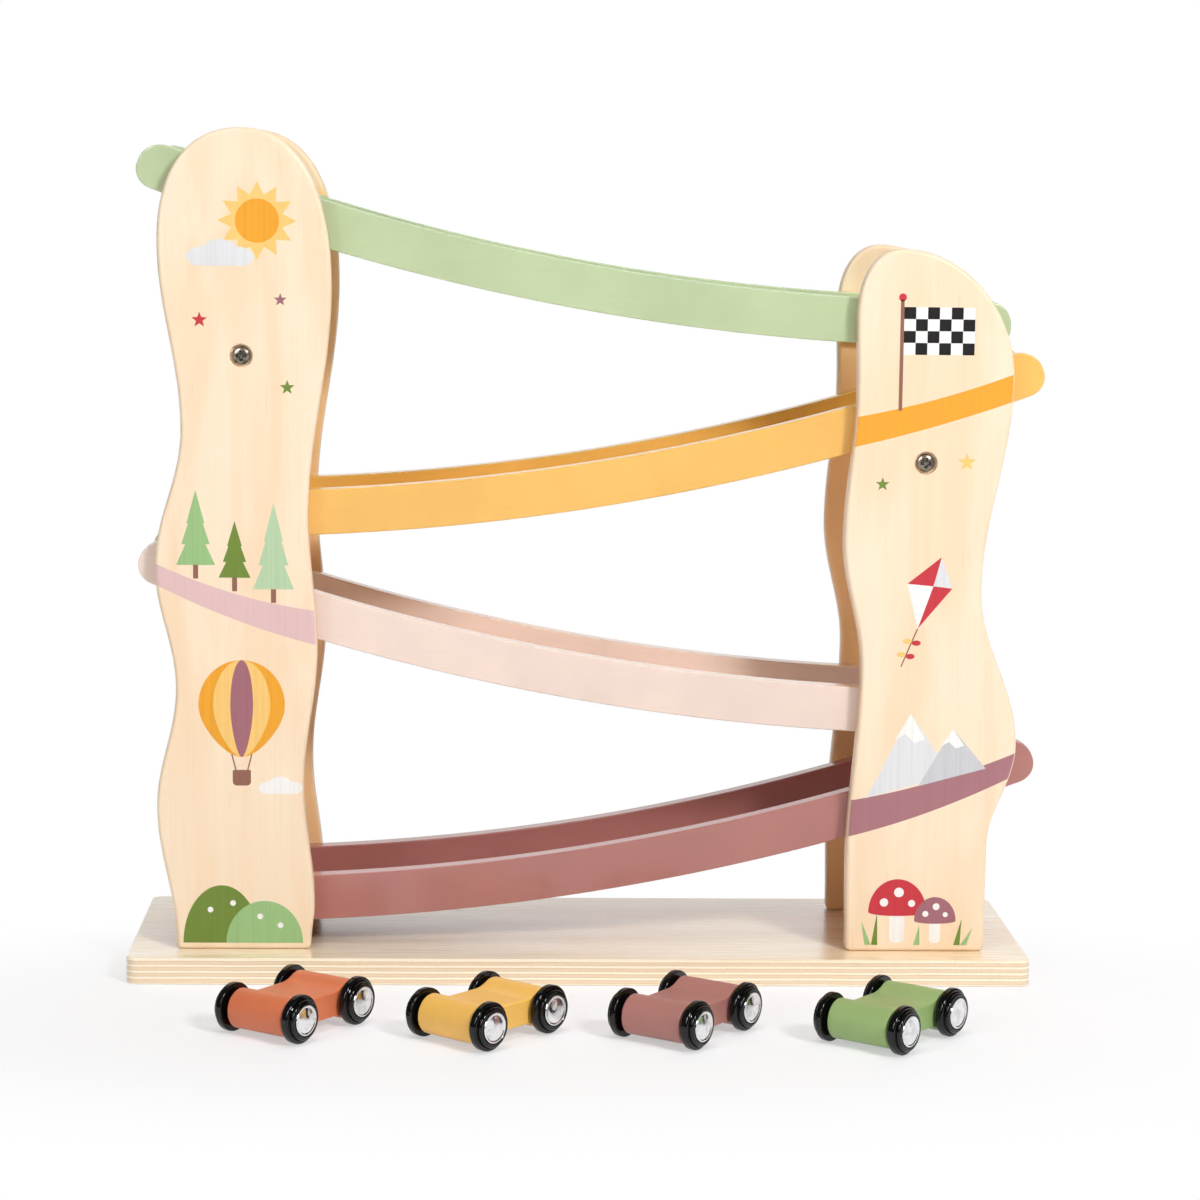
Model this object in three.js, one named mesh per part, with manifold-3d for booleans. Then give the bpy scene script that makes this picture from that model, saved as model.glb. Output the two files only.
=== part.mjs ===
// Wooden racing track: four curved ramps zigzag down between two wavy towers, with four small cars.
// Millimetres, +Z up. The origin is the centre of the base board's underside; X runs along the ramps
// and Y to the back. Heights of the towers and ramps are measured from the base board's top.
import * as THREE from "three";
import { mergeVertices } from "three/addons/utils/BufferGeometryUtils.js";
import Module from "manifold-3d";

const wasm = await Module();
wasm.setup();

// Base board
const baseLength = 400;
const baseDepth = 124;
const baseThickness = 12;
const baseCornerRadius = 5;
const baseEdgeRadius = 1;

// Towers: two wavy panels each, front and rear
const panelThickness = 9;
const panelEdgeRadius = 2;
const panelSetback = 16.75;
const towerSpacing = 300;
const footRadius = 2.5;
const leftCrownRise = 19.56;
const rightCrownRise = 22.66;

// Ramps: all four share one rail, turned end for end from level to level
const railRadius = 1040;
const railHeight = 20;
const railThickness = 9;
const railReach = 386;
const railTopNose = 11;
const railLowNose = 5;
const levelRun = 15;
const leftReach = 198.5;
const rightReach = 205.5;
const lowestRail = 10.5;
const railStackGap = 3.5;

// Ramp floors, let into grooves in the rails, and the stops over the drops
const floorThickness = 4;
const floorLift = 2;
const floorSetback = 8;
const grooveDepth = 3;
const dropLength = 62;
const stopThickness = 9;
const stopSetback = 6;
const stopEdgeRadius = 1.5;

// Cross bars between a tower's panels, and the screws that hold them
const barDiameter = 18;
const leftBarGap = 46;
const rightBarGap = 3.5;
const screwDiameter = 4;
const screwHeadDiameter = 8;
const screwHeadHeight = 2.4;
const screwHeadWall = 1;
const screwRecessDiameter = 10;
const screwRecessDepth = 2.8;
const screwBite = 20;

// Screws from below into the feet of the panels
const footScrewHeadDiameter = 8;
const footScrewHeadHeight = 2.6;
const footScrewSink = 0.6;
const footScrewBite = 26;

// Cars
const wheelDiameter = 20.5;
const wheelThickness = 5;
const wheelChamfer = 0.6;
const treadWidth = 3.5;
const hubDiameter = 17;
const hubEdge = 0.5;
const wheelbase = 38;
const groundClearance = 1.8;
const waistThickness = 10.8;
const hollowRadius = 15;
const bodyWidth = 28.6;
const bodyEdgeRadius = 0.8;
const axleDiameter = 3;
const capDiameter = 13;
const capThickness = 1.6;
const capDome = 0.7;
const capRecess = 1.7;
const wheelGap = 1.8;

// Where the cars stand: X, and distance in front of the base board
const terracottaX = -121.5;
const terracottaStandOff = 71.2;
const mustardX = -41.3;
const mustardStandOff = 81.8;
const mauveX = 41.5;
const mauveStandOff = 79.3;
const greenX = 126.9;
const greenStandOff = 86.5;

// Play between pieces that fit in one another
const runningClearance = 0.3;
const pressClearance = 0.2;
// How far a cutting tool reaches past the face that it cuts
const overcut = 1;

// Facets
const wheelSides = 16;
const axleSides = 12;
const screwSides = 12;
const barSides = 18;
const outlineSteps = 5;
const arcSteps = 5;
const cornerSteps = 2;

// Tower outlines: [height, distance from the tower's centre line] of each turning point of the wavy
// edges, where the edge runs upright, and of the crown. The heights stretch with the top ramp, which the
// crown stands clear of by crownRise. The crown's fullness is 0.55 for an ellipse.
const towers = {
  left: {
    side: -1,
    leftEdge: [[0, -29], [64, -37.5], [117, -29], [171, -38], [231, -26.5], [313, -36.5]],
    crown: [362, 0],
    crownFullness: [0.63, 0.63],
    crownRise: leftCrownRise,
    rightEdge: [[294, 39], [193, 29], [135, 33], [73, 27], [20, 32], [0, 30.5]],
    barRamp: "green",
    barGap: leftBarGap,
  },
  right: {
    side: 1,
    leftEdge: [[0, -31], [40, -31.5], [128, -26.5], [185, -35.3], [251, -30.7], [283, -31.3]],
    crown: [313, -12],
    crownFullness: [0.6, 0.54],
    crownRise: rightCrownRise,
    rightEdge: [[256, 38.3], [163, 26.2], [93.5, 43.5], [48, 31.5], [0, 31.3]],
    barRamp: "yellow",
    barGap: rightBarGap,
  },
};

// Share of a wave's height that its upright handles take, which makes it a near sine
const waveHandle = 0.37;
// Share of a corner's sides that its handles take, which makes it a near circle
const cornerHandle = 0.5523;
// A dome's middle ring, as shares of its radius and rise
const domeRadiusShare = 0.6;
const domeRiseShare = 0.75;

// Ramps from the bottom up: descent is the X direction in which a car runs down
const ramps = [
  { name: "mauve", descent: -1, colour: 0xb4766e, runsOut: true },
  { name: "pink", descent: 1, colour: 0xf3ddd0, runsOut: false },
  { name: "yellow", descent: -1, colour: 0xf8c66e, runsOut: false },
  { name: "green", descent: 1, colour: 0xb9d29c, runsOut: false },
];

// Cars: where each stands, and its heading in degrees from +X
const cars = [
  { name: "terracotta", x: terracottaX, standOff: terracottaStandOff, heading: 54.2, colour: 0xd67850 },
  { name: "mustard", x: mustardX, standOff: mustardStandOff, heading: 48.2, colour: 0xebb55c },
  { name: "mauve", x: mauveX, standOff: mauveStandOff, heading: 53.9, colour: 0xaf726b },
  { name: "green", x: greenX, standOff: greenStandOff, heading: 51.2, colour: 0x8fb368 },
];

const birch = finish(0xf2dcb9, 0.55, 0);
const paleBirch = finish(0xf3e7d2, 0.4, 0);
const blackPlastic = finish(0x17161a, 0.3, 0);
const chrome = finish(0xdcdde0, 0.12, 1);
const steel = finish(0xa9a7a2, 0.3, 1);

// Sizes that follow from the driving dimensions
const towerDepth = baseDepth - 2 * panelSetback;
const panelGap = towerDepth - 2 * panelThickness;
const channelWidth = panelGap - 2 * railThickness;
const upperRun = levelRun - railReach;
const nextEndRun = 2 * railReach - leftReach - rightReach - levelRun;
const railTopRadius = railRadius - railHeight;
const railTopAtNextEnd = railRadius - Math.sqrt(railTopRadius ** 2 - nextEndRun ** 2);
const rampPitch = railTopAtNextEnd + railStackGap;
const floorTop = floorLift + floorThickness;
const wheelRadius = wheelDiameter / 2;
const lobeRadius = wheelRadius - groundClearance;
const wheelOuterFace = bodyWidth / 2 + wheelGap + wheelThickness;

ramps.forEach((ramp, level) => {
  const reach = ramp.descent > 0 ? leftReach : rightReach;
  ramp.levelX = ramp.descent * (railReach - reach - levelRun);
  ramp.centreZ = baseThickness + lowestRail + level * rampPitch + railRadius;
});
for (const tower of Object.values(towers)) {
  tower.x = (tower.side * towerSpacing) / 2;
  tower.barZ = barHeight(tower);
  tower.stretch = crownHeight(tower) / tower.crown[0];
}

const track = new THREE.Group();

// A painted, bare or metal surface
function finish(color, roughness, metalness) {
  return new THREE.MeshStandardMaterial({ color, roughness, metalness });
}

// Adds a named piece to a group
function place(group, name, geometry, material) {
  const mesh = new THREE.Mesh(geometry, material);
  mesh.name = name;
  group.add(mesh);
  return mesh;
}

// A closed geometry as a solid for cutting
function toSolid(geometry) {
  const bare = geometry.clone();
  bare.deleteAttribute("normal");
  bare.deleteAttribute("uv");
  const merged = mergeVertices(bare);
  return new wasm.Manifold(
    new wasm.Mesh({
      numProp: 3,
      vertProperties: merged.attributes.position.array,
      triVerts: new Uint32Array(merged.index.array),
    }),
  );
}

// A geometry less the tools that cut it
function cut(geometry, tools) {
  const solid = tools.reduce((rest, tool) => rest.subtract(toSolid(tool)), toSolid(geometry));
  const mesh = solid.getMesh();
  const result = new THREE.BufferGeometry();
  result.setAttribute("position", new THREE.BufferAttribute(mesh.vertProperties, 3));
  result.setIndex(new THREE.BufferAttribute(mesh.triVerts, 1));
  result.computeVertexNormals();
  return result;
}

// A profile drawn in X and Z, carried from yFront to yBack, its long edges eased by edgeRadius
function carryAcross(shape, yFront, yBack, edgeRadius, curveSegments) {
  const geometry = new THREE.ExtrudeGeometry(shape, {
    depth: yBack - yFront - 2 * edgeRadius,
    bevelEnabled: edgeRadius > 0,
    bevelThickness: edgeRadius,
    bevelSize: edgeRadius,
    bevelOffset: -edgeRadius,
    bevelSegments: 1,
    curveSegments,
  });
  return geometry.rotateX(Math.PI / 2).translate(0, yBack - edgeRadius, 0);
}

// A round tool along Y from yFront to yBack
function roundAcross(diameter, yFront, yBack, x, z, sides) {
  const length = yBack - yFront;
  const geometry = new THREE.CylinderGeometry(diameter / 2, diameter / 2, length, sides);
  return geometry.translate(x, yFront + length / 2, z);
}

// A profile of [radius, height] points turned about Z
function turnUpright(points, sides, x, y) {
  const profile = points.map(([radius, height]) => new THREE.Vector2(radius, height));
  return new THREE.LatheGeometry(profile, sides).rotateX(Math.PI / 2).translate(x, y, 0);
}

// Rounds a corner of a path from its current point to end
function roundCorner(path, corner, end) {
  const start = path.currentPoint.clone();
  const handleA = start.clone().lerp(corner, cornerHandle);
  const handleB = end.clone().lerp(corner, cornerHandle);
  path.bezierCurveTo(handleA.x, handleA.y, handleB.x, handleB.y, end.x, end.y);
}

// Swings a wavy edge to its next turning point, upright at both ends
function swingTo(path, x, z) {
  const start = path.currentPoint.clone();
  const rise = (z - start.y) * waveHandle;
  path.bezierCurveTo(start.x, start.y + rise, x, z - rise, x, z);
}

// The wavy outline of a tower's panel, up its left edge, over the crown and down its right edge
function towerOutline(tower) {
  const at = ([height, offset]) =>
    new THREE.Vector2(tower.x + offset, baseThickness + height * tower.stretch);
  const left = tower.leftEdge.map(at);
  const right = tower.rightEdge.map(at);
  const crown = at(tower.crown);
  const [fullLeft, fullRight] = tower.crownFullness;
  const footLeft = left[0];
  const footRight = right[right.length - 1];
  const shoulder = left[left.length - 1];
  const outline = new THREE.Shape();
  outline.moveTo(footLeft.x + footRadius, footLeft.y);
  roundCorner(outline, footLeft, new THREE.Vector2(footLeft.x, footLeft.y + footRadius));
  for (const point of left.slice(1)) swingTo(outline, point.x, point.y);
  outline.bezierCurveTo(
    shoulder.x,
    shoulder.y + fullLeft * (crown.y - shoulder.y),
    crown.x - fullLeft * (crown.x - shoulder.x),
    crown.y,
    crown.x,
    crown.y,
  );
  outline.bezierCurveTo(
    crown.x + fullRight * (right[0].x - crown.x),
    crown.y,
    right[0].x,
    right[0].y + fullRight * (crown.y - right[0].y),
    right[0].x,
    right[0].y,
  );
  for (const point of right.slice(1, -1)) swingTo(outline, point.x, point.y);
  swingTo(outline, footRight.x, footRight.y + footRadius);
  roundCorner(outline, footRight, new THREE.Vector2(footRight.x - footRadius, footRight.y));
  outline.closePath();
  return outline;
}

// The point of a ramp that lies lift above its rails' underside, run along X from its level point
function onRamp(ramp, run, lift) {
  const angle = Math.asin(run / railRadius);
  const radius = railRadius - lift;
  return new THREE.Vector2(
    ramp.levelX + ramp.descent * radius * Math.sin(angle),
    ramp.centreZ - radius * Math.cos(angle),
  );
}

// Carries a path along a ramp's arc, at one lift, between two runs
function followRamp(path, ramp, fromRun, toRun, lift) {
  const angleAt = (run) => -Math.PI / 2 + ramp.descent * Math.asin(run / railRadius);
  const backwards = ramp.descent * (toRun - fromRun) < 0;
  path.absarc(ramp.levelX, ramp.centreZ, railRadius - lift, angleAt(fromRun), angleAt(toRun), backwards);
}

// A strip that follows a ramp's arc between two runs and two lifts, with rounded low and high corners
function rampStrip(ramp, fromRun, toRun, low, high, lowRadius, highRadius) {
  const strip = new THREE.Shape();
  const point = (run, lift) => onRamp(ramp, run, lift);
  const start = point(fromRun + lowRadius, low);
  strip.moveTo(start.x, start.y);
  followRamp(strip, ramp, fromRun + lowRadius, toRun - lowRadius, low);
  if (lowRadius > 0) roundCorner(strip, point(toRun, low), point(toRun, low + lowRadius));
  const highEnd = point(toRun, high - highRadius);
  strip.lineTo(highEnd.x, highEnd.y);
  if (highRadius > 0) roundCorner(strip, point(toRun, high), point(toRun - highRadius, high));
  followRamp(strip, ramp, toRun - highRadius, fromRun + highRadius, high);
  if (highRadius > 0) roundCorner(strip, point(fromRun, high), point(fromRun, high - highRadius));
  const lowStart = point(fromRun, low + lowRadius);
  strip.lineTo(lowStart.x, lowStart.y);
  if (lowRadius > 0) roundCorner(strip, point(fromRun, low), start);
  strip.closePath();
  return strip;
}

// Height over the underside of the base board of a ramp's arc at x, for an arc of that radius
function arcHeight(ramp, x, radius) {
  return ramp.centreZ - Math.sqrt(radius ** 2 - (x - ramp.levelX) ** 2);
}

// Height of a tower's cross bar, a set gap below the ramp over it
function barHeight(tower) {
  const ramp = ramps.find((each) => each.name === tower.barRamp);
  return arcHeight(ramp, tower.x, railRadius + tower.barGap + barDiameter / 2);
}

// Height of a tower's crown over the base board's top, clear of the top ramp's rails
function crownHeight(tower) {
  const topRamp = ramps[ramps.length - 1];
  return arcHeight(topRamp, tower.x, railTopRadius) + tower.crownRise - baseThickness;
}

// Base board, with a countersunk hole under each foot
function addBase() {
  const halfX = baseLength / 2;
  const halfY = baseDepth / 2;
  const edge = baseCornerRadius;
  const outline = new THREE.Shape();
  outline.absarc(halfX - edge, halfY - edge, edge, 0, Math.PI / 2);
  outline.absarc(edge - halfX, halfY - edge, edge, Math.PI / 2, Math.PI);
  outline.absarc(edge - halfX, edge - halfY, edge, Math.PI, 1.5 * Math.PI);
  outline.absarc(halfX - edge, edge - halfY, edge, 1.5 * Math.PI, 2 * Math.PI);
  const board = new THREE.ExtrudeGeometry(outline, {
    depth: baseThickness - 2 * baseEdgeRadius,
    bevelThickness: baseEdgeRadius,
    bevelSize: baseEdgeRadius,
    bevelOffset: -baseEdgeRadius,
    bevelSegments: 1,
    curveSegments: cornerSteps,
  }).translate(0, 0, baseEdgeRadius);
  const shank = screwDiameter / 2 + runningClearance;
  const head = footScrewHeadDiameter / 2 + runningClearance;
  const headTop = footScrewSink + footScrewHeadHeight;
  const above = baseThickness + overcut;
  const countersink = [[0, -overcut], [head, -overcut], [head, footScrewSink], [shank, headTop]];
  const profile = [...countersink, [shank, above], [0, above]];
  const holes = footPlaces().map(({ x, y }) => turnUpright(profile, screwSides, x, y));
  place(track, "base_board", cut(board, holes), paleBirch);
}

// Where the screws come up through the base board: the middle of each panel's foot
function footPlaces() {
  const middle = (panelGap + panelThickness) / 2;
  return Object.entries(towers).flatMap(([side, tower]) => [
    { name: `${side}_front`, x: tower.x, y: -middle },
    { name: `${side}_rear`, x: tower.x, y: middle },
  ]);
}

// Two panels of one tower, each with a recessed screw hole and a pilot hole in its foot
function addPanels(side, tower) {
  const outline = towerOutline(tower);
  const shankHole = screwDiameter + 2 * runningClearance;
  const outer = towerDepth / 2;
  const pilotTop = baseThickness + footScrewBite + runningClearance;
  for (const [face, facing] of [["front", -1], ["rear", 1]]) {
    const [yFront, yBack] = facing < 0 ? [-outer, -panelGap / 2] : [panelGap / 2, outer];
    const middle = (yFront + yBack) / 2;
    const recessEnd = facing * (outer - screwRecessDepth);
    const past = facing * (outer + overcut);
    const panel = carryAcross(outline, yFront, yBack, panelEdgeRadius, outlineSteps);
    const tools = [
      roundAcross(shankHole, yFront - overcut, yBack + overcut, tower.x, tower.barZ, screwSides),
      roundAcross(
        screwRecessDiameter,
        Math.min(recessEnd, past),
        Math.max(recessEnd, past),
        tower.x,
        tower.barZ,
        barSides,
      ),
      turnUpright(
        [
          [0, baseThickness - overcut],
          [shankHole / 2, baseThickness - overcut],
          [shankHole / 2, pilotTop],
          [0, pilotTop],
        ],
        screwSides,
        tower.x,
        middle,
      ),
    ];
    place(track, `${side}_${face}_panel`, cut(panel, tools), birch);
  }
}

// Cross bar of one tower, bored at both ends, and its two pan-head screws
function addCrossBar(side, tower) {
  const half = panelGap / 2;
  const bite = screwBite + runningClearance;
  const pilot = screwDiameter + 2 * runningClearance;
  const bar = roundAcross(barDiameter, -half, half, tower.x, tower.barZ, barSides);
  const bores = [-1, 1].map((end) =>
    roundAcross(
      pilot,
      Math.min(end * (half - bite), end * (half + overcut)),
      Math.max(end * (half - bite), end * (half + overcut)),
      tower.x,
      tower.barZ,
      screwSides,
    ),
  );
  place(track, `${side}_cross_bar`, cut(bar, bores), birch);
  const seat = towerDepth / 2 - screwRecessDepth;
  const tip = half - screwBite;
  const headRadius = screwHeadDiameter / 2;
  const dome = screwHeadHeight - screwHeadWall;
  for (const [end, turn] of [["front", 0], ["rear", Math.PI]]) {
    const profile = [
      [0, -seat - screwHeadHeight],
      [headRadius * domeRadiusShare, -seat - screwHeadWall - dome * domeRiseShare],
      [headRadius, -seat - screwHeadWall],
      [headRadius, -seat],
      [screwDiameter / 2, -seat],
      [screwDiameter / 2, -tip - screwDiameter],
      [0, -tip],
    ].map(([radius, y]) => new THREE.Vector2(radius, y));
    const screw = place(track, `${side}_${end}_screw`, new THREE.LatheGeometry(profile, screwSides), steel);
    screw.rotation.z = turn;
    screw.position.set(tower.x, 0, tower.barZ);
  }
}

// Countersunk screws up through the base board into the feet
function addFootScrews() {
  const head = footScrewHeadDiameter / 2;
  const shank = screwDiameter / 2;
  const tip = baseThickness + footScrewBite;
  for (const { name, x, y } of footPlaces()) {
    const profile = [
      [0, footScrewSink],
      [head, footScrewSink],
      [shank, footScrewSink + footScrewHeadHeight],
      [shank, tip - screwDiameter],
      [0, tip],
    ];
    place(track, `${name}_foot_screw`, turnUpright(profile, screwSides, x, y), steel);
  }
}

// One ramp: two grooved rails, the floor between them and the stop over its drop
function addRamp(ramp) {
  const paint = finish(ramp.colour, 0.45, 0);
  const half = channelWidth / 2;
  const outer = panelGap / 2;
  const stopEnd = levelRun - stopSetback;
  const stopStart = stopEnd - stopThickness;
  const floorStart = upperRun + floorSetback;
  const floorEnd = ramp.runsOut ? stopEnd : stopStart - dropLength;
  const play = runningClearance;
  const rail = rampStrip(ramp, upperRun, levelRun, 0, railHeight, railLowNose, railTopNose);
  const groove = rampStrip(ramp, floorStart - play, floorEnd + play, floorLift - play, floorTop + play, 0, 0);
  const grooveEnd = half + grooveDepth;
  const front = carryAcross(rail, -outer, -half, 0, arcSteps);
  const rear = carryAcross(rail, half, outer, 0, arcSteps);
  const frontGroove = carryAcross(groove, -grooveEnd, overcut - half, 0, arcSteps);
  const rearGroove = carryAcross(groove, half - overcut, grooveEnd, 0, arcSteps);
  place(track, `${ramp.name}_ramp_front_rail`, cut(front, [frontGroove]), paint);
  place(track, `${ramp.name}_ramp_rear_rail`, cut(rear, [rearGroove]), paint);
  const floor = rampStrip(ramp, floorStart, floorEnd, floorLift, floorTop, 0, 0);
  const floorHalf = grooveEnd - play;
  place(track, `${ramp.name}_ramp_floor`, carryAcross(floor, -floorHalf, floorHalf, 0, arcSteps), paint);
  if (ramp.runsOut) return;
  const stop = rampStrip(ramp, stopStart, stopEnd, floorLift, railHeight, stopEdgeRadius, stopEdgeRadius);
  place(track, `${ramp.name}_ramp_stop`, carryAcross(stop, -half, half, 0, cornerSteps), paint);
}

// Outline of a car's body: two round lobes over the axles, drawn in by tangent arcs to a level waist
function bodyOutline() {
  const half = wheelbase / 2;
  const hollowZ = waistThickness / 2 + hollowRadius;
  const hollowX = half - Math.sqrt((lobeRadius + hollowRadius) ** 2 - hollowZ ** 2);
  const tangent = Math.atan2(hollowZ, hollowX - half);
  const outline = new THREE.Shape();
  outline.absarc(half, 0, lobeRadius, -tangent, tangent);
  outline.absarc(hollowX, hollowZ, hollowRadius, tangent - Math.PI, -Math.PI / 2, true);
  outline.absarc(-hollowX, hollowZ, hollowRadius, -Math.PI / 2, -tangent, true);
  outline.absarc(-half, 0, lobeRadius, Math.PI - tangent, Math.PI + tangent);
  outline.absarc(-hollowX, -hollowZ, hollowRadius, tangent, Math.PI / 2, true);
  outline.absarc(hollowX, -hollowZ, hollowRadius, Math.PI / 2, Math.PI - tangent, true);
  return outline;
}

// A wheel about Y, its inner face at y = 0: eased tread, stepped hub, and a recess for the cap in its face
function wheelGeometry() {
  const rim = wheelRadius / Math.cos(Math.PI / wheelSides);
  const bore = axleDiameter / 2 + pressClearance;
  const recess = capDiameter / 2 + pressClearance;
  const hub = hubDiameter / 2;
  const profile = [
    [bore, 0],
    [rim, 0],
    [rim, treadWidth - wheelChamfer],
    [rim - wheelChamfer, treadWidth],
    [hub, treadWidth],
    [hub, wheelThickness - hubEdge],
    [hub - hubEdge, wheelThickness],
    [recess, wheelThickness],
    [recess, wheelThickness - capRecess],
    [bore, wheelThickness - capRecess],
    [bore, 0],
  ].map(([radius, y]) => new THREE.Vector2(radius, y));
  return new THREE.LatheGeometry(profile, wheelSides, Math.PI / wheelSides);
}

// An axle about Y with a domed cap on each end, as one turned piece
function axleGeometry() {
  const back = wheelOuterFace - capRecess + pressClearance;
  const face = back + capThickness;
  const cap = capDiameter / 2;
  const half = [
    [axleDiameter / 2, back],
    [cap, back],
    [cap, face],
    [cap * domeRadiusShare, face + capDome * domeRiseShare],
    [0, face + capDome],
  ];
  const mirrored = half.map(([radius, y]) => [radius, -y]).reverse();
  const profile = [...mirrored, ...half].map(([radius, y]) => new THREE.Vector2(radius, y));
  return new THREE.LatheGeometry(profile, axleSides, Math.PI / axleSides);
}

// One car: body, two axles with caps and four wheels, rolling along its own X
function addCar(car) {
  const group = new THREE.Group();
  group.position.set(car.x, -baseDepth / 2 - car.standOff, wheelRadius);
  group.rotation.z = THREE.MathUtils.degToRad(car.heading);
  track.add(group);
  const half = bodyWidth / 2;
  const block = carryAcross(bodyOutline(), -half, half, bodyEdgeRadius, arcSteps);
  const boreSize = axleDiameter + 2 * runningClearance;
  const axles = [["front", wheelbase / 2], ["rear", -wheelbase / 2]];
  const bores = axles.map(([, x]) => roundAcross(boreSize, -half - overcut, half + overcut, x, 0, axleSides));
  place(group, `${car.name}_car_body`, cut(block, bores), finish(car.colour, 0.4, 0));
  for (const [end, x] of axles) {
    const axle = place(group, `${car.name}_car_${end}_axle`, axleGeometry(), chrome);
    axle.position.x = x;
    for (const [hand, side] of [["left", 1], ["right", -1]]) {
      const wheel = place(group, `${car.name}_car_${end}_${hand}_wheel`, wheelGeometry(), blackPlastic);
      wheel.position.set(x, side * (half + wheelGap), 0);
      if (side < 0) wheel.rotation.z = Math.PI;
    }
  }
}

addBase();
for (const [side, tower] of Object.entries(towers)) {
  addPanels(side, tower);
  addCrossBar(side, tower);
}
addFootScrews();
ramps.forEach(addRamp);
cars.forEach(addCar);

export default track;
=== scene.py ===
"""A wooden racing track and its four small cars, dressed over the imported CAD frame.

Sizes are in millimetres and become metres in the meshes. X runs along the ramps, Y to the back and
Z up. The origin is the middle of the base board's underside.
"""

import logging
import math
from dataclasses import dataclass, field, replace
from enum import Enum
from typing import Callable, Optional, Sequence, Union

import bpy
import numpy as np
from mathutils import Matrix
from mathutils.geometry import tessellate_polygon


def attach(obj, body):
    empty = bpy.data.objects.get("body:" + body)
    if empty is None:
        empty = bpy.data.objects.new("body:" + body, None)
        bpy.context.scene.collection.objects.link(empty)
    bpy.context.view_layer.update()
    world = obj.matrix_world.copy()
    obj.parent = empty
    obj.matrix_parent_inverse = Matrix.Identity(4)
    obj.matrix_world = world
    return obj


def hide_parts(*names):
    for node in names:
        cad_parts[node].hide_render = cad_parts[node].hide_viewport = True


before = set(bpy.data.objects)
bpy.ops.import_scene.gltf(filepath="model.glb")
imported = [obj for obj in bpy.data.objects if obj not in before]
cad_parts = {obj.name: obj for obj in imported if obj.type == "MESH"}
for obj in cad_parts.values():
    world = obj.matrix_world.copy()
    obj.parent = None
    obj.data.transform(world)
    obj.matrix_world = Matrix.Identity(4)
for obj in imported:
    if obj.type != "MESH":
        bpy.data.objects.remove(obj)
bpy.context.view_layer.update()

Array = np.ndarray
Pair = tuple[float, float]
Triple = tuple[float, float, float]
Colour = Triple
Socket = bpy.types.NodeSocket
Value = Union[float, Sequence[float], Socket]
Inputs = dict[Union[str, int], Value]
Dent = Callable[[Array, Array], Array]

MM = 0.001
SHARP = math.radians(35)
BORE_SIDES = 40
TRACK = "track"

# Local axes of a board or turned piece (across, up, along its depth) laid out in the frame
FLAT = np.eye(3)
TO_BACK = np.array([[1.0, 0, 0], [0, 0, 1], [0, 1, 0]])
TO_FRONT = np.array([[1.0, 0, 0], [0, 0, -1], [0, 1, 0]])
DOWNWARDS = np.diag([1.0, -1, -1])
HALF_TURN = np.diag([-1.0, -1, 1])

log = logging.getLogger("racing_track")


def linear(colour: Colour) -> tuple[float, float, float, float]:
    """Turns an sRGB colour of 0 to 255 into linear RGBA.

    Args:
        colour: red, green and blue as a paint chart gives them.

    Returns:
        The same colour as the shaders take it.
    """
    share = np.array(colour) / 255
    curve = np.where(share <= 0.04045, share / 12.92, ((share + 0.055) / 1.055) ** 2.4)
    return (*curve.tolist(), 1.0)


def toned(colour: Colour, gain: float) -> Colour:
    """Returns a colour made lighter or darker by a gain, held to what can be shown."""
    return tuple(np.clip(np.array(colour) * gain, 0, 255).tolist())


def paired(across: Array, up: Array) -> Array:
    """Points of a plane from their two coordinates."""
    return np.stack([across, up], -1)


@dataclass
class Shell:
    """Points and faces of one or more closed surfaces, in millimetres.

    A zero row of normals leaves that point's shading to Blender. The edge value runs from 0 on a
    board's faces to 1 on its sides, and ink is a print's colour.
    """

    points: Array
    quads: Array
    triangles: Array
    normals: Array
    edge: Array
    ink: Optional[Array] = None

    def laid(self, axes: Array, shift: Sequence[float] = (0, 0, 0)) -> "Shell":
        """Turns the shell onto other axes and then shifts it.

        Args:
            axes: 3 by 3 matrix from the shell's axes to the new ones.
            shift: where the shell's origin goes.

        Returns:
            The shell in its new place, its faces still pointing outwards.
        """
        step = -1 if np.linalg.det(axes) < 0 else 1
        return replace(
            self,
            points=self.points @ axes.T + np.asarray(shift, float),
            normals=self.normals @ axes.T,
            quads=self.quads[:, ::step],
            triangles=self.triangles[:, ::step],
        )

    @staticmethod
    def joined(shells: Sequence["Shell"]) -> "Shell":
        """Gathers several shells into one, each one's faces moved past the points before it."""
        starts = np.cumsum([0] + [len(shell.points) for shell in shells[:-1]])
        inks = [shell.ink for shell in shells if shell.ink is not None]
        return Shell(
            np.concatenate([shell.points for shell in shells]),
            np.concatenate([shell.quads + start for shell, start in zip(shells, starts)]),
            np.concatenate([shell.triangles + start for shell, start in zip(shells, starts)]),
            np.concatenate([shell.normals for shell in shells]),
            np.concatenate([shell.edge for shell in shells]),
            np.concatenate(inks) if inks else None,
        )


@dataclass(frozen=True)
class Bore:
    """A round hole in a board's face: [radius, depth] rows from the face to the hole's floor."""

    centre: Pair
    rows: tuple[Pair, ...]
    in_high_face: bool


def strip_quads(rows: int, columns: int, closed_rows: bool = False) -> Array:
    """Faces of a grid of points whose columns close on themselves.

    Args:
        rows: number of rings.
        columns: points in each ring.
        closed_rows: whether the last ring joins the first.

    Returns:
        Quads that name ring k, column j as k * columns + j.
    """
    ring = np.arange(rows if closed_rows else rows - 1)[:, None]
    column = np.arange(columns)[None]
    here, above = ring * columns, (ring + 1) % rows * columns
    right = (column + 1) % columns
    corners = [here + column, here + right, above + right, above + column]
    return np.stack(corners, -1).reshape(-1, 4)


def outward(outline: Array) -> Array:
    """Unit normals of a closed outline, at right angles to the line between a point's neighbours."""
    along = np.roll(outline, -1, 0) - np.roll(outline, 1, 0)
    normal = paired(along[:, 1], -along[:, 0])
    return normal / np.linalg.norm(normal, axis=1, keepdims=True)


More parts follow.
